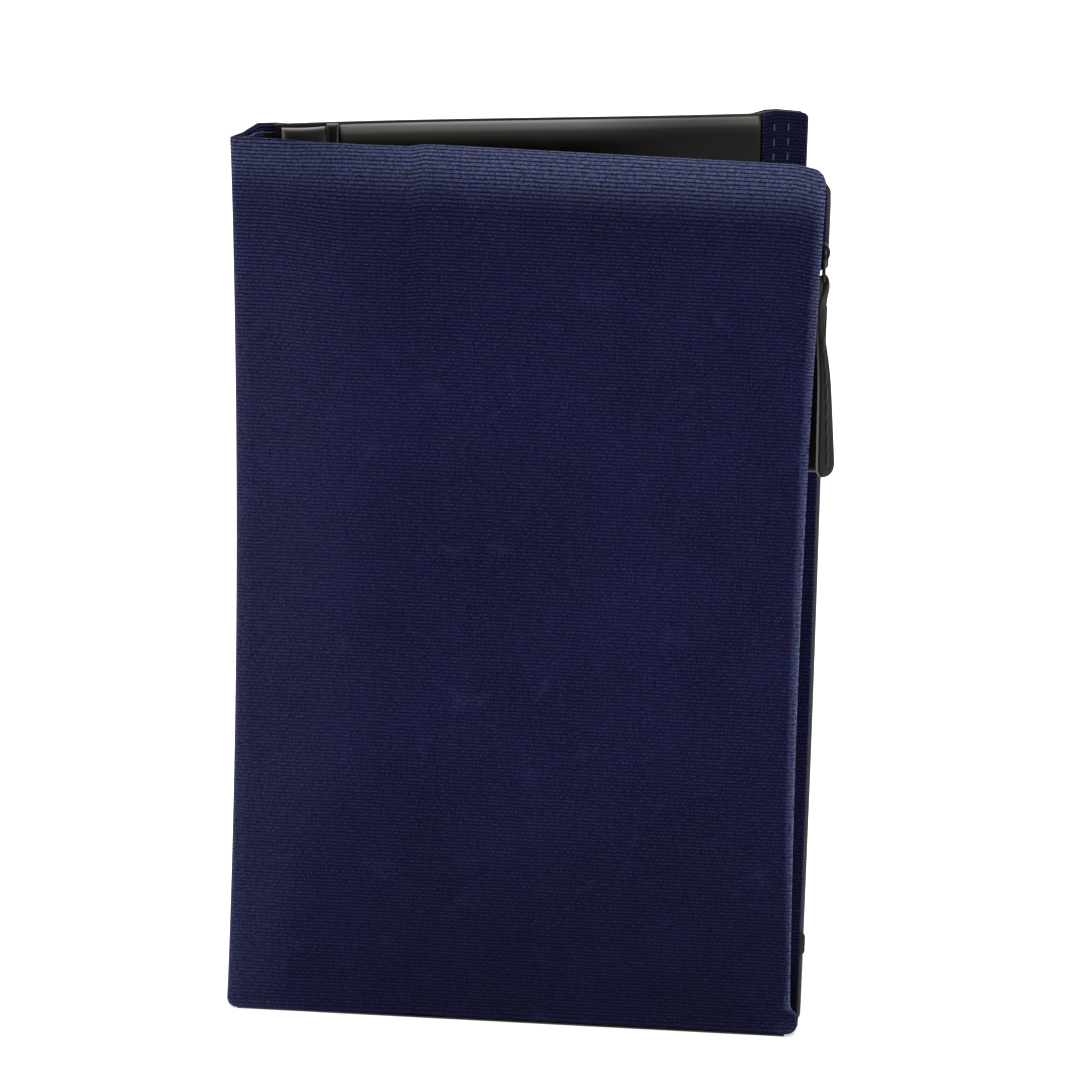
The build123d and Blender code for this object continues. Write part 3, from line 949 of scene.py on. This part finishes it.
def back_canvas_wear_and_shade(s, z):
    """Rubbed pale along the fold and the edges, with painted shade darkening the hem inside."""
    distance = back_distance(s)
    wear_and_light = 0.5 * hump(COVER_WIDTH - distance, 1.0) + 0.3 * hump(distance, 2.0)
    wear_and_light += 0.3 * (smooth(z, HEIGHT - 2, HEIGHT) + smooth(z, 3, 0))
    # Inside, the hem has a pale raw edge and painted shade over the rest.
    if s > BACK_START + COVER_WIDTH + 3:
        wear_and_light += 0.7 * hump(back_path.total - s, 0.5) - 0.3
    return clamp(wear_and_light, -1.0, 1.0)


canvas_back = slab(
    "canvas_back", back_place, CANVAS, back_path.knots(STEP), vertical(0, HEIGHT, STEP, 4.0),
    z_ends=back_canvas_height, worn=back_canvas_wear_and_shade,
)
dress(canvas_back, NAVY)


# ---- plain sheets on a side

def side_slab(
    name, side, span, heights, depths, look, solids=(), step=STEP, corner=3.0,
    rows=None, bend=None, rise=None, share=0.0, **more,
):
    """A sheet on one side, fixed to its body in place of CAD solids.

    span, heights and depths are (low, high) pairs. bend(s, z) moves the sheet inwards,
    rise(s) lifts its head, and share is how much of the spine's bow it follows.
    """
    def place(s, z, depth):
        inwards = depths[0] + depth + (bend(s, z) if bend else 0.0)
        height = raised(z, rise(s)) if rise else z
        return bowed(side.point(s, height, inwards), share)

    rows = rows or vertical(*heights, step, corner)
    obj = slab(name, place, depths[1] - depths[0], spread(*span, step), rows, **more)
    return fix(dress(obj, look), side.body, *solids)


def edge_worn(span, heights, width, amount):
    """Paleness along a sheet's edges: rubbing, and on the pen sleeve a painted highlight as
    well.
    """
    def worn(s, z):
        near = min(s - span[0], span[1] - s, z - heights[0], heights[1] - z)
        return amount * hump(near, width)

    return worn


# ---- spine

def spine_pucker(s, z):
    """The turned-in head of the spine's canvas is a little rumpled."""
    return 0.35 * sin(s * 1.1) * smooth(z, HEIGHT - 14, HEIGHT)


side_slab(
    "spine_board", SPINE, (3.0, 14.0), (3, HEIGHT - 3), (CANVAS, LINING[0]),
    WRAPPED_BOARD, ["spine_stiffener"], share=1.0, rise=lambda s: 1.3,
)
spine_leather = side_slab(
    "spine_leather", SPINE, (2.6, 14.4), (1, HEIGHT - 1), LINING, LINING_LEATHER,
    ["spine_lining"], share=1.0, rise=lambda s: 1.3,
)
FOLD_SPAN, FOLD_HEIGHTS = (3.2, 13.6), (HEIGHT - 17, HEIGHT - 0.8)
spine_head_fold = side_slab(
    "spine_head_fold", SPINE, FOLD_SPAN, FOLD_HEIGHTS, (LINING[1], 3.7), NAVY, share=1.0,
    step=1.2, corner=2.0, rise=lambda s: 1.6, bend=spine_pucker,
    worn=edge_worn(FOLD_SPAN, FOLD_HEIGHTS, 0.8, 0.5),
)


# ---- front cover

NOTCH_MIDDLE, NOTCH_DEPTH = 200.5, 2.6
NOTCH_MOUTH, NOTCH_FLOOR = 6.5, 4.5
EDGE_LEATHER = 0.8
SECOND_DROP = 2.3
SECOND_HEAD_CORNER, SECOND_FOOT_CORNER = 4.0, 3.6


def second_layer_edge(z):
    """The pocket's inner wall stands past the mouth, more so lower down.

    A notch leaves room for the parked slider's link.
    """
    rise = smooth(z, NOTCH_MIDDLE - NOTCH_MOUTH, NOTCH_MIDDLE - NOTCH_FLOOR)
    fall = smooth(z, NOTCH_MIDDLE + NOTCH_MOUTH, NOTCH_MIDDLE + NOTCH_FLOOR)
    return COVER_WIDTH - 0.7 + 0.8 * smooth(z, 215, 60) - NOTCH_DEPTH * rise * fall


def second_layer(name, start, inset, beyond, depths, look, solid, **more):
    """One layer of the pocket's inner wall."""
    def reach(z):
        head = corner_cut(HEIGHT - inset - z, SECOND_HEAD_CORNER)
        foot = corner_cut(z - inset, SECOND_FOOT_CORNER)
        return start, second_layer_edge(z) + beyond - (head + foot)

    heights = (inset, HEIGHT - inset)
    near = spread(NOTCH_MIDDLE - 8, NOTCH_MIDDLE + 8, 0.5)
    far = [z for z in vertical(*heights, STEP, 3.0) if z < near[0] - 0.6 or z > near[-1] + 0.6]
    return side_slab(
        name, FRONT, (start, COVER_WIDTH + beyond), heights, depths, look, [solid],
        rows=sorted(far + near), rise=lambda s: front_rise(s) - SECOND_DROP, s_ends=reach,
        **more,
    )


def base_painted_light(s, z):
    """Painted sheen on the rim at the mouth; painted shade in the depth at the foot, its edge a
    painted highlight.
    """
    rim_sheen = 0.35 * hump(second_layer_edge(z) - s, 0.4)
    pocket_shade = 0.90 * smooth(z, 26, 11)
    return rim_sheen + 0.25 * smooth(z, 3, 0.6) - 0.15 - pocket_shade


BASE_FACE = POCKET_DEPTH + CANVAS
pocket_back_canvas = second_layer(
    "pocket_back_canvas", 6.5, 0.6, 0.0, (POCKET_DEPTH, BASE_FACE), NAVY, "front_base_panel",
    worn=base_painted_light,
)
front_leather = second_layer(
    "front_leather", 6.3, 0.3, EDGE_LEATHER, (BASE_FACE, BASE_FACE + 1.2), LINING_LEATHER,
    "front_lining", edge=0.4,
)

# A strip of black leather runs under the front cover's foot: painted shade, the dark line where
# it stands.
side_slab(
    "front_foot_shade_strip", FRONT, (2.6, 146.0), (0.0, 1.5), (0.2, 1.4), LINING_LEATHER,
    corner=1.2, edge=0.3,
)

# Folds of canvas close the pocket along the spine, at the head's inner corner and at
# the foot.
INSIDE_POCKET = (CANVAS - 0.1, POCKET_DEPTH)
side_slab(
    "pocket_spine_fold", FRONT, (6.5, 11.0), (1, HEIGHT - 8), (CANVAS, POCKET_DEPTH), NAVY,
    ["zip_pocket_spine_seam"], step=1.5, edge=2.2,
)
side_slab(
    "pocket_head_fold", FRONT, (6.8, 34.0), (HEIGHT - 12, HEIGHT - 1.4), INSIDE_POCKET, NAVY,
    ["zip_pocket_head_seam"], step=1.5, corner=2.0, edge=0.9, rise=front_rise,
    z_ends=lambda s: (HEIGHT - 12, HEIGHT - 2.4 - 5.5 * smooth(s, 12, 30)),
    worn=lambda s, z: 0.35 * smooth(z, HEIGHT - 4, HEIGHT - 1),
)
# The foot fold is painted dark all over: painted shade deep in the pocket.
side_slab(
    "pocket_foot_fold", FRONT, (6.8, 146.5), (1.6, 7.5), INSIDE_POCKET, NAVY,
    ["zip_pocket_foot_seam"], corner=1.5, edge=2.4, worn=lambda s, z: -0.8,
)

# Thin leather faces the pocket's spine side and lines both gutters.
WALL = Side("front_cover", FRONT.at(5.75, CANVAS), FRONT.inward, FRONT.along)
side_slab(
    "pocket_spine_wall", WALL, (0.2, 8.3), (1.0, HEIGHT - 1.5), (0.0, 0.65), LINING_LEATHER,
    step=1.5, corner=1.0,
)
GUTTER_DEPTH, GUTTER_LEATHER = 1.25, 0.6


def gutter(name, first, fold, second, reaches, radius, share):
    """A strip of lining that bends round the fold between two sides.

    fold is where it lies on the first side, and reaches are the strip's ends.
    """
    turn = acos(clamp(first.along.dot(second.along), -1.0, 1.0))
    inset = GUTTER_DEPTH / tan((pi - turn if fold else turn) / 2)
    corner = first.at(fold - inset if fold else inset, GUTTER_DEPTH)
    ends = first.at(reaches[0], GUTTER_DEPTH), second.at(reaches[1], GUTTER_DEPTH)
    path = Path([ends[0], corner, ends[1]], [radius], -1)

    def place(s, z, depth):
        start, inward = path.at(s)
        flat = start + inward * depth
        return bowed(Vector((flat.x, flat.y, raised(z, 1.2))), share)

    rows = vertical(1.0, HEIGHT - 1.2, STEP, 1.0)
    return dress(slab(name, place, GUTTER_LEATHER, path.knots(1.0), rows), LINING_LEATHER)


gutter_front = gutter("gutter_front", FRONT, 0, SPINE, (7.5, 3.4), 0.7, 1.0)
gutter_back = gutter(
    "gutter_back", SPINE, SPINE_WIDTH, BACK, (SPINE_WIDTH - 3.4, 4.2), 1.2, 0.6
)

# A leather patch guards the pocket's inner wall behind the puller.
PATCH_HEIGHTS = (150.0, 193.0)
side_slab(
    "puller_patch", FRONT, (144.7, COVER_WIDTH + 0.3), PATCH_HEIGHTS, (6.7, 7.3),
    PULLER_LEATHER, step=0.8, edge=0.3,
    worn=lambda s, z: 0.9 * hump(z - PATCH_HEIGHTS[0], 0.5),
)


# ---- zip

tape_low, tape_high = mm_box("zip_tape_front")
ZIP_HEIGHTS = (tape_low.z, tape_high.z)
TOOTH_PITCH = 1.35
TOOTH_WIRE = 0.28
TOOTH_STEPS = 8


def zip_bend(s, z):
    """The front half of the zip follows the canvas where that turns in."""
    return front_profile(COVER_WIDTH, z)[0] * 0.8


side_slab(
    "zip_tape_outer", FRONT, (139.5, 144.2), ZIP_HEIGHTS, (CANVAS, 1.75), TAPE,
    ["zip_tape_front"], step=1.2, bend=zip_bend,
)
side_slab(
    "zip_tape_inner", FRONT, (139.5, 143.2), ZIP_HEIGHTS, (6.7, POCKET_DEPTH + 0.05), TAPE,
    ["zip_tape_rear"], step=1.2,
)


def coil(name, solid, bend):
    """A zip coil: one nylon wire wound into flat loops up the tape's edge."""
    low, high = mm_box(solid)
    wide = (high.x - low.x) / 2 - TOOTH_WIRE
    deep = (high.y - low.y) / 2 - TOOTH_WIRE
    middle = (low + high) / 2
    turns = int((high.z - low.z - 2 * TOOTH_WIRE) / TOOTH_PITCH)
    centres = []
    for k in range(turns * TOOTH_STEPS + 1):
        angle = 2 * pi * k / TOOTH_STEPS
        z = low.z + TOOTH_WIRE + TOOTH_PITCH * k / TOOTH_STEPS
        y = middle.y + deep * sin(angle) + bend(0, z)
        centres.append(Vector((middle.x + wide * cos(angle), y, z)))
    fix(dress(tube(name, centres, TOOTH_WIRE), COIL), "front_cover", solid)


coil("zip_teeth_outer", "zip_coil_front", zip_bend)
coil("zip_teeth_inner", "zip_coil_rear", lambda s, z: 0.0)

for name in ("zip_top_stop", "zip_bottom_stop", "slider_body", "slider_bail", "pull_link"):
    dress(frame["nodes"][name], CAD_METAL)
dress(frame["nodes"]["zip_end_tab"], CAD_LEATHER)
for name in ("front_board", "back_board"):
    dress(frame["nodes"][name], BOARD)


# ---- puller

PULL_TWIST, PULL_LEAN = 29.0, 3.2
PULL_LENGTH, PULL_THICK = 50.0, 1.25
LINK_WIRE = 0.45

link_low, link_high = mm_box("pull_link")
bar = (link_low + link_high) / 2
bar.z = link_low.z + LINK_WIRE
twist, lean = unit(PULL_TWIST), unit(PULL_LEAN)
PULL_ACROSS = Vector((twist.y, twist.x, 0))
PULL_FACE = Vector((twist.x * lean.x, -twist.y * lean.x, lean.y))
PULL_DOWN = PULL_ACROSS.cross(PULL_FACE)
PULL_DOWN *= copysign(1, -PULL_DOWN.z)


def pull_hang(down):
    """How far the tab curves out from a straight line: in at the waist."""
    return -hump(down - 12, 9.0) * smooth(down, 0, 6)


def pull_half_width(down):
    """Narrow at the loop, a small swell under it, a waist, then wider to the end."""
    straight = 1.2 + 3.2 * clamp(down / PULL_LENGTH)
    swell = 0.55 * hump(down - 5.5, 4.0)
    waist = -0.35 * hump(down - 15, 7.0)
    return straight + swell + waist - corner_cut(max(0.0, PULL_LENGTH - down), 3.2)


def pull_half_thick(down):
    """Doubled leather: full where it folds round the link, then pressed flat."""
    head = 0.75 * hump(down - 1.0, 3.2)
    return PULL_THICK / 2 + head - 0.25 * hump(PULL_LENGTH - down, 0.5)


def pull_point(down, across, through):
    """A point of the tab: down from the link, across its face and out of it."""
    middle = bar + PULL_DOWN * down + PULL_FACE * pull_hang(down)
    return middle + PULL_ACROSS * across + PULL_FACE * through


TAB_SIDES = 36
LOOP_TOP, LOOP_END, LOOP_REACH = -1.35, 0.8, 2.2
TAB_END = 3.0


def pull_tab():
    """The leather tab, lofted down from the loop as rounded, slightly dished rings."""
    straight_end = PULL_LENGTH - TAB_END
    downs = [LOOP_TOP + LOOP_REACH * (1 - cos(turn)) for turn in quarter_turn(6)[:-1]]
    downs += spread(1.0, straight_end, 1.3)
    downs += [straight_end + TAB_END * sin(turn) for turn in quarter_turn(7)[1:]]
    points, uvs, wear_and_light = [], [], []
    for down in downs:
        if down < LOOP_END:
            share = sqrt(max(0.02, 1 - ((LOOP_END - down) / LOOP_REACH) ** 2))
            half_w, half_t = 1.25 * (0.6 + 0.4 * share), pull_half_thick(LOOP_END) * share
        else:
            half_w, half_t = pull_half_width(down), pull_half_thick(down)
        half_w = max(half_w, 0.5)
        for k in range(TAB_SIDES):
            angle = 2 * pi * k / TAB_SIDES
            c, s = cos(angle), sin(angle)
            across = half_w * copysign(abs(c) ** 0.35, c)
            through = half_t * copysign(abs(s) ** 0.4, s)
            pressed = 1 - 0.22 * smooth(abs(across), half_w - 0.7, half_w)
            points.append(pull_point(down, across, through * pressed))
            uvs.append((across + 20 * (k < TAB_SIDES / 2), down))
            wear_and_light.append(0.55 * smooth(abs(c), 0.93, 1.0))
    faces = closed_rings(len(downs), TAB_SIDES)
    obj = make_object("puller_tab", points, faces, uvs, wear_and_light)
    fix(dress(obj, PULLER_LEATHER), "zip_puller", "pull_leather")


pull_tab()


STITCH_STEPS = 6


def stitch(start, end, radius, lift):
    """One thread stitch: a short rod that arches by lift, ends dipping in."""
    centres = []
    for k in range(STITCH_STEPS + 1):
        t = k / STITCH_STEPS
        centres.append(start.lerp(end, t) + lift * sin(pi * t) ** 0.5)
    return tube("stitch", centres, radius)


def puller_stitches():
    """A saddle seam down the middle of both faces."""
    pieces = []
    first, pitch, length = 14.5, 4.2, 3.3
    sunk, slant, count = 0.08, 0.16, 8
    for k in range(count):
        top = first + pitch * k
        for face in (-1, 1):
            ends = []
            for down, across in ((top, slant), (top + length, -slant)):
                out = pull_half_thick(down) - sunk
                ends.append(pull_point(down, across, face * out))
            pieces.append(stitch(ends[0], ends[1], 0.34, PULL_FACE * face * 0.10))
    seam = dress(join("puller_seam", pieces), BLACK_THREAD)
    fix(seam, "zip_puller", "pull_stitches")


puller_stitches()


# ---- back cover, inside

back_leather = side_slab(
    "back_leather", BACK, (3.0, 147.0), (0.8, HEIGHT), LINING, LINING_LEATHER,
    ["back_lining"], rise=back_rise,
)

POCKET_SPAN = (20.0, 134.6)
POCKET_FOOT, POCKET_TOP = 2.0, HEIGHT - 0.6
WELT_TOP = HEIGHT - 8
POCKET_ROLL = 6.5


def rolled_back(z, top, reach, amount):
    """A sheet's head rolls away over its last stretch, as a quarter ellipse."""
    over = clamp((z - (top - reach)) / reach)
    return -amount * (1 - sqrt(max(0.0, 1 - over**2)))


def pocket_painted_highlight(s, z):
    """The pocket's rolled head is rubbed and painted pale as a highlight, unevenly along it."""
    uneven = clamp(0.72 + 0.75 * lumps(s, z, 5.0, 30.0), 0.25, 1.0)
    broad = 0.20 * smooth(z, POCKET_TOP - POCKET_ROLL, POCKET_TOP - 2.0)
    return uneven * (broad + 0.75 * smooth(z, POCKET_TOP - 3.0, POCKET_TOP - 0.9))


def pocket_bend(s, z):
    """The pocket's wall rolls back to the lining at its head and swells below it."""
    across = sin(pi * share_of(s, POCKET_SPAN))
    swell = 0.7 * across**0.6 * smooth(z, POCKET_TOP - 70, POCKET_TOP - 8)
    wave = 0.25 * lumps(s, z, 7.0, 22.0) * smooth(z, 150, 175)
    return rolled_back(z, POCKET_TOP, POCKET_ROLL, 2.0) + swell + wave


def welts(side, depths, rows, **more):
    """Strips of leather under a pocket's edges; rows holds names, spans and heights."""
    for name, span, heights in rows:
        side_slab(name, side, span, heights, depths, LINING_LEATHER, corner=1.0, **more)


document_pocket = side_slab(
    "document_pocket", BACK, POCKET_SPAN, (POCKET_FOOT, POCKET_TOP), (3.5, 4.6),
    POCKET_LEATHER,
    ["document_pocket_panel", "document_pocket_side_welts", "document_pocket_foot_welt"],
    step=2.4, corner=7.0, bend=pocket_bend, rise=back_rise, worn=pocket_painted_highlight,
)
welts(BACK, (2.75, 3.7), (
    ("document_pocket_welt_spine", (20.0, 23.0), (POCKET_FOOT, WELT_TOP)),
    ("document_pocket_welt_edge", (131.0, 134.0), (POCKET_FOOT, WELT_TOP)),
    ("document_pocket_welt_foot", (23.2, 130.8), (POCKET_FOOT, 6.0)),
))

BAND_SPAN, BAND_HEIGHTS = (16.2, 19.5), (0.8, HEIGHT - 0.2)
side_slab(
    "edge_band", BACK, BAND_SPAN, BAND_HEIGHTS, (LINING[1], 4.7), LINING_LEATHER,
    ["inner_edge_band"], step=0.8, corner=1.5, rise=back_rise,
    worn=edge_worn(BAND_SPAN, BAND_HEIGHTS, 0.35, 0.45),
)
SLEEVE_SPAN, SLEEVE_HEIGHTS = (4.5, 16.0), (60.0, HEIGHT - 0.9)


def sleeve_bend(s, z):
    """A shallow channel for a pen, open at the head."""
    channel = 1.3 * sin(pi * share_of(s, SLEEVE_SPAN)) * smooth(z, 60, 75)
    return channel + rolled_back(z, SLEEVE_HEIGHTS[1], 6.0, 0.9)


# The sleeve's edges are rubbed pale and also carry a painted highlight.
pen_sleeve = side_slab(
    "pen_sleeve", BACK, SLEEVE_SPAN, SLEEVE_HEIGHTS, (3.9, 4.9), LINING_LEATHER,
    ["pen_sleeve_panel", "pen_sleeve_welts"], step=0.9, corner=2.0, bend=sleeve_bend,
    rise=back_rise, worn=edge_worn((SLEEVE_SPAN[0], 60.0), SLEEVE_HEIGHTS, 0.55, 0.95),
)
sleeve_welt_heights = (SLEEVE_HEIGHTS[0] + 0.5, HEIGHT - 3)
welts(BACK, (2.75, 4.0), (
    ("pen_sleeve_welt_spine", (4.6, 6.4), sleeve_welt_heights),
    ("pen_sleeve_welt_edge", (14.0, 15.9), sleeve_welt_heights),
), step=0.9)


def seam(name, look, rows, foot, margin, pitch, rise, radius, lift):
    """Stitches up the back cover, from its foot to a margin under its head.

    Each row gives a stitch's two ends as (distance, depth) pairs, and rise is how much
    higher the second end is.
    """
    pieces = []
    out = Vector((BACK.inward.x, BACK.inward.y, 0)) * lift
    for first, second in rows:
        for k in range(int((HEIGHT - margin) / pitch)):
            low = foot + pitch * k
            start = BACK.point(first[0], low, first[1])
            end = BACK.point(second[0], low + rise, second[1])
            pieces.append(stitch(start, end, radius, out))
    return fix(dress(join(name, pieces), look), BACK.body)


hem_seam = seam(
    "hem_seam", PALE_THREAD, [((row, HEM_DEPTH), (row, HEM_DEPTH)) for row in (138.6, 142.6)],
    foot=3.2, margin=3, pitch=3.9, rise=1.5, radius=0.2, lift=0.12,
)
seam(
    "band_seam", BLACK_THREAD, [((19.2, 4.45), (20.9, 4.55))],
    foot=4.0, margin=8, pitch=3.4, rise=1.1, radius=0.28, lift=0.25,
)


# ---- front cover, inside

PASSPORT_SPAN, PASSPORT_HEIGHTS = (26.0, 130.0), (6.0, 114.0)


def passport_bend(s, z):
    """The pocket's mouth gapes a little."""
    mouth = 0.25 * sin(pi * share_of(s, PASSPORT_SPAN)) * smooth(z, 60, 112)
    return mouth + 0.08 * lumps(s, z, 3.0, 20.0)


passport_pocket = side_slab(
    "passport_pocket", FRONT, PASSPORT_SPAN, PASSPORT_HEIGHTS, (10.1, 11.1), POCKET_LEATHER,
    ["passport_pocket_panel", "passport_pocket_side_welts", "passport_pocket_foot_welt"],
    bend=passport_bend, corner=2.0, worn=edge_worn(PASSPORT_SPAN, PASSPORT_HEIGHTS, 0.4, 0.35),
)
welts(FRONT, (9.55, 10.15), (
    ("passport_welt_spine", (26.0, 29.0), PASSPORT_HEIGHTS),
    ("passport_welt_edge", (127.0, 130.0), PASSPORT_HEIGHTS),
    ("passport_welt_foot", (29.2, 126.8), (PASSPORT_HEIGHTS[0], 10.0)),
))
CARD_LEATHER = 0.62


def card_slot(solid):
    """A card slot's wall, the size of its CAD solid."""
    low, high = mm_box(solid)
    span, heights = (low.x - FRONT_FOLD.x, high.x - FRONT_FOLD.x), (low.z, high.z)
    depth = low.y - FRONT_FOLD.y
    return side_slab(
        solid + "_leather", FRONT, span, heights, (depth, depth + CARD_LEATHER),
        POCKET_LEATHER, [solid], corner=1.5, worn=edge_worn(span, heights, 0.35, 0.4),
    )


card_slots = [card_slot("card_slot_" + place) for place in ("upper", "middle", "lower")]


# ---- across the folds

BEND_REACH = 4.0


def across_fold(piece, first, first_at, second, second_at):
    """Bakes a sheet's place into its mesh; points a short stretch into each body are found but
    not used.
    """
    start = first.point(first_at, 0.0, 0.0) * MM
    end = second.point(second_at, 0.0, 0.0) * MM
    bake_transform(piece)


for piece in (canvas_front, gutter_front):
    across_fold(piece, FRONT, BEND_REACH, SPINE, BEND_REACH)
for piece in (canvas_back, gutter_back):
    across_fold(piece, SPINE, SPINE_WIDTH - BEND_REACH, BACK, BEND_REACH)
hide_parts("front_canvas_panel")
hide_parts("back_canvas", "back_fore_edge_hem", "spine_canvas")


# ---- sheet sizes, which nothing uses

def cut(piece, width, length, rests_on, held="stretched", with_pieces=()):
    """Takes a sheet and the size it was cut to, in millimetres; nothing is done with them."""
    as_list(with_pieces)


cut(canvas_front, front_path.total - BEND_START, HEIGHT + 4, "pocket_head_fold")
cut(canvas_back, back_path.total, HEIGHT + 2, "back_board", "folded", [hem_seam])
cut(pocket_back_canvas, COVER_WIDTH - 6.5, HEIGHT - 2, "front_board")
cut(front_leather, COVER_WIDTH - 6.3, HEIGHT - 2, "front_board")
cut(back_leather, 144.0, HEIGHT, "back_board")
cut(spine_leather, 11.8, HEIGHT - 2, "spine_board")
cut(spine_head_fold, 10.4, 16.2, "spine_leather", "folded")
cut(document_pocket, POCKET_SPAN[1] - POCKET_SPAN[0], POCKET_TOP - POCKET_FOOT, "back_leather")
cut(pen_sleeve, SLEEVE_SPAN[1] - SLEEVE_SPAN[0], HEIGHT - 61, "back_leather")
cut(passport_pocket, 104.0, 108.0, "front_leather")
for card in card_slots:
    cut(card, 96.0, 54.0, "front_leather")


# ---- floor, light, camera

FLOOR_GLOW, SKY_LIGHT = 0.50, 0.42
WHITE = rgb(1.0, 1.0, 1.0)


def backdrop():
    """A white sweep: a wide floor that curves up far behind the object."""
    near, far, width, top = -12000.0, 9000.0, 24000.0, 6000.0
    radius = 2000.0
    profile = [(near, 0.0)]
    for turn in quarter_turn(16):
        profile.append((far + radius * sin(turn), radius * (1 - cos(turn))))
    profile.append((far + radius, top))
    points = [(x, y, z) for y, z in profile for x in (-width / 2, width / 2)]
    faces = [[2 * i, 2 * i + 1, 2 * i + 3, 2 * i + 2] for i in range(len(profile) - 1)]
    obj = make_object("studio_floor", points, faces)
    n = Nodes("studio_white")
    soft = n.noise(n.solid(), 0.004, 2.0)
    color = n.mix(n.ramp(soft, 0.3, 0.7), rgb(0.90, 0.90, 0.90), rgb(0.92, 0.92, 0.92))
    glow = {"Emission_Color": WHITE, "Emission_Strength": FLOOR_GLOW}
    obj.data.materials.append(n.finish(color, 0.9, Specular_IOR_Level=0.0, **glow))


backdrop()


def area_light(name, place, aim, size, power):
    data = bpy.data.lights.new(name, "AREA")
    data.shape = "RECTANGLE"
    data.size, data.size_y = size[0] * MM, size[1] * MM
    data.energy = power
    obj = add_object(name, data)
    obj.location = Vector(place) * MM
    way = (Vector(aim) - Vector(place)).normalized()
    obj.rotation_euler = way.to_track_quat("-Z", "Y").to_euler()


area_light("top_softbox", (-300, 700, 2500), (-50, 500, 0), (4200, 5000), 118)
area_light("left_softbox", (-1700, -500, 900), (0, 0, 120), (900, 1500), 11)

world = bpy.data.worlds.new("studio_world")
world.use_nodes = True
sky = world.node_tree.nodes["Background"].inputs
sky["Color"].default_value = WHITE
sky["Strength"].default_value = SKY_LIGHT
bpy.context.scene.world = world
bpy.context.scene.view_settings.view_transform = "Standard"

CAMERA_PLACE = (83.65, -1095.27, 424.2)
CAMERA_YAW, CAMERA_PITCH, CAMERA_ROLL = -4.38, 15.46, 1.37
CAMERA_LENS, CAMERA_SENSOR = 145.0, 36.0


def add_camera():
    """The photograph's viewpoint: a long lens, a little above the object."""
    yaw, pitch, roll = unit(CAMERA_YAW), unit(CAMERA_PITCH), unit(CAMERA_ROLL)
    ahead = Vector((yaw.y * pitch.x, yaw.x * pitch.x, -pitch.y))
    level = Vector((yaw.x, -yaw.y, 0))
    up = level.cross(ahead)
    right = level * roll.x + up * roll.y
    top = up * roll.x - level * roll.y
    data = bpy.data.cameras.new("camera")
    data.lens = CAMERA_LENS
    data.sensor_width = CAMERA_SENSOR
    data.clip_end = 100.0
    obj = add_object("camera", data)
    turn = Matrix((right, top, -ahead)).transposed()
    obj.matrix_world = Matrix.Translation(Vector(CAMERA_PLACE) * MM) @ turn.to_4x4()
    bpy.context.scene.camera = obj


add_camera()
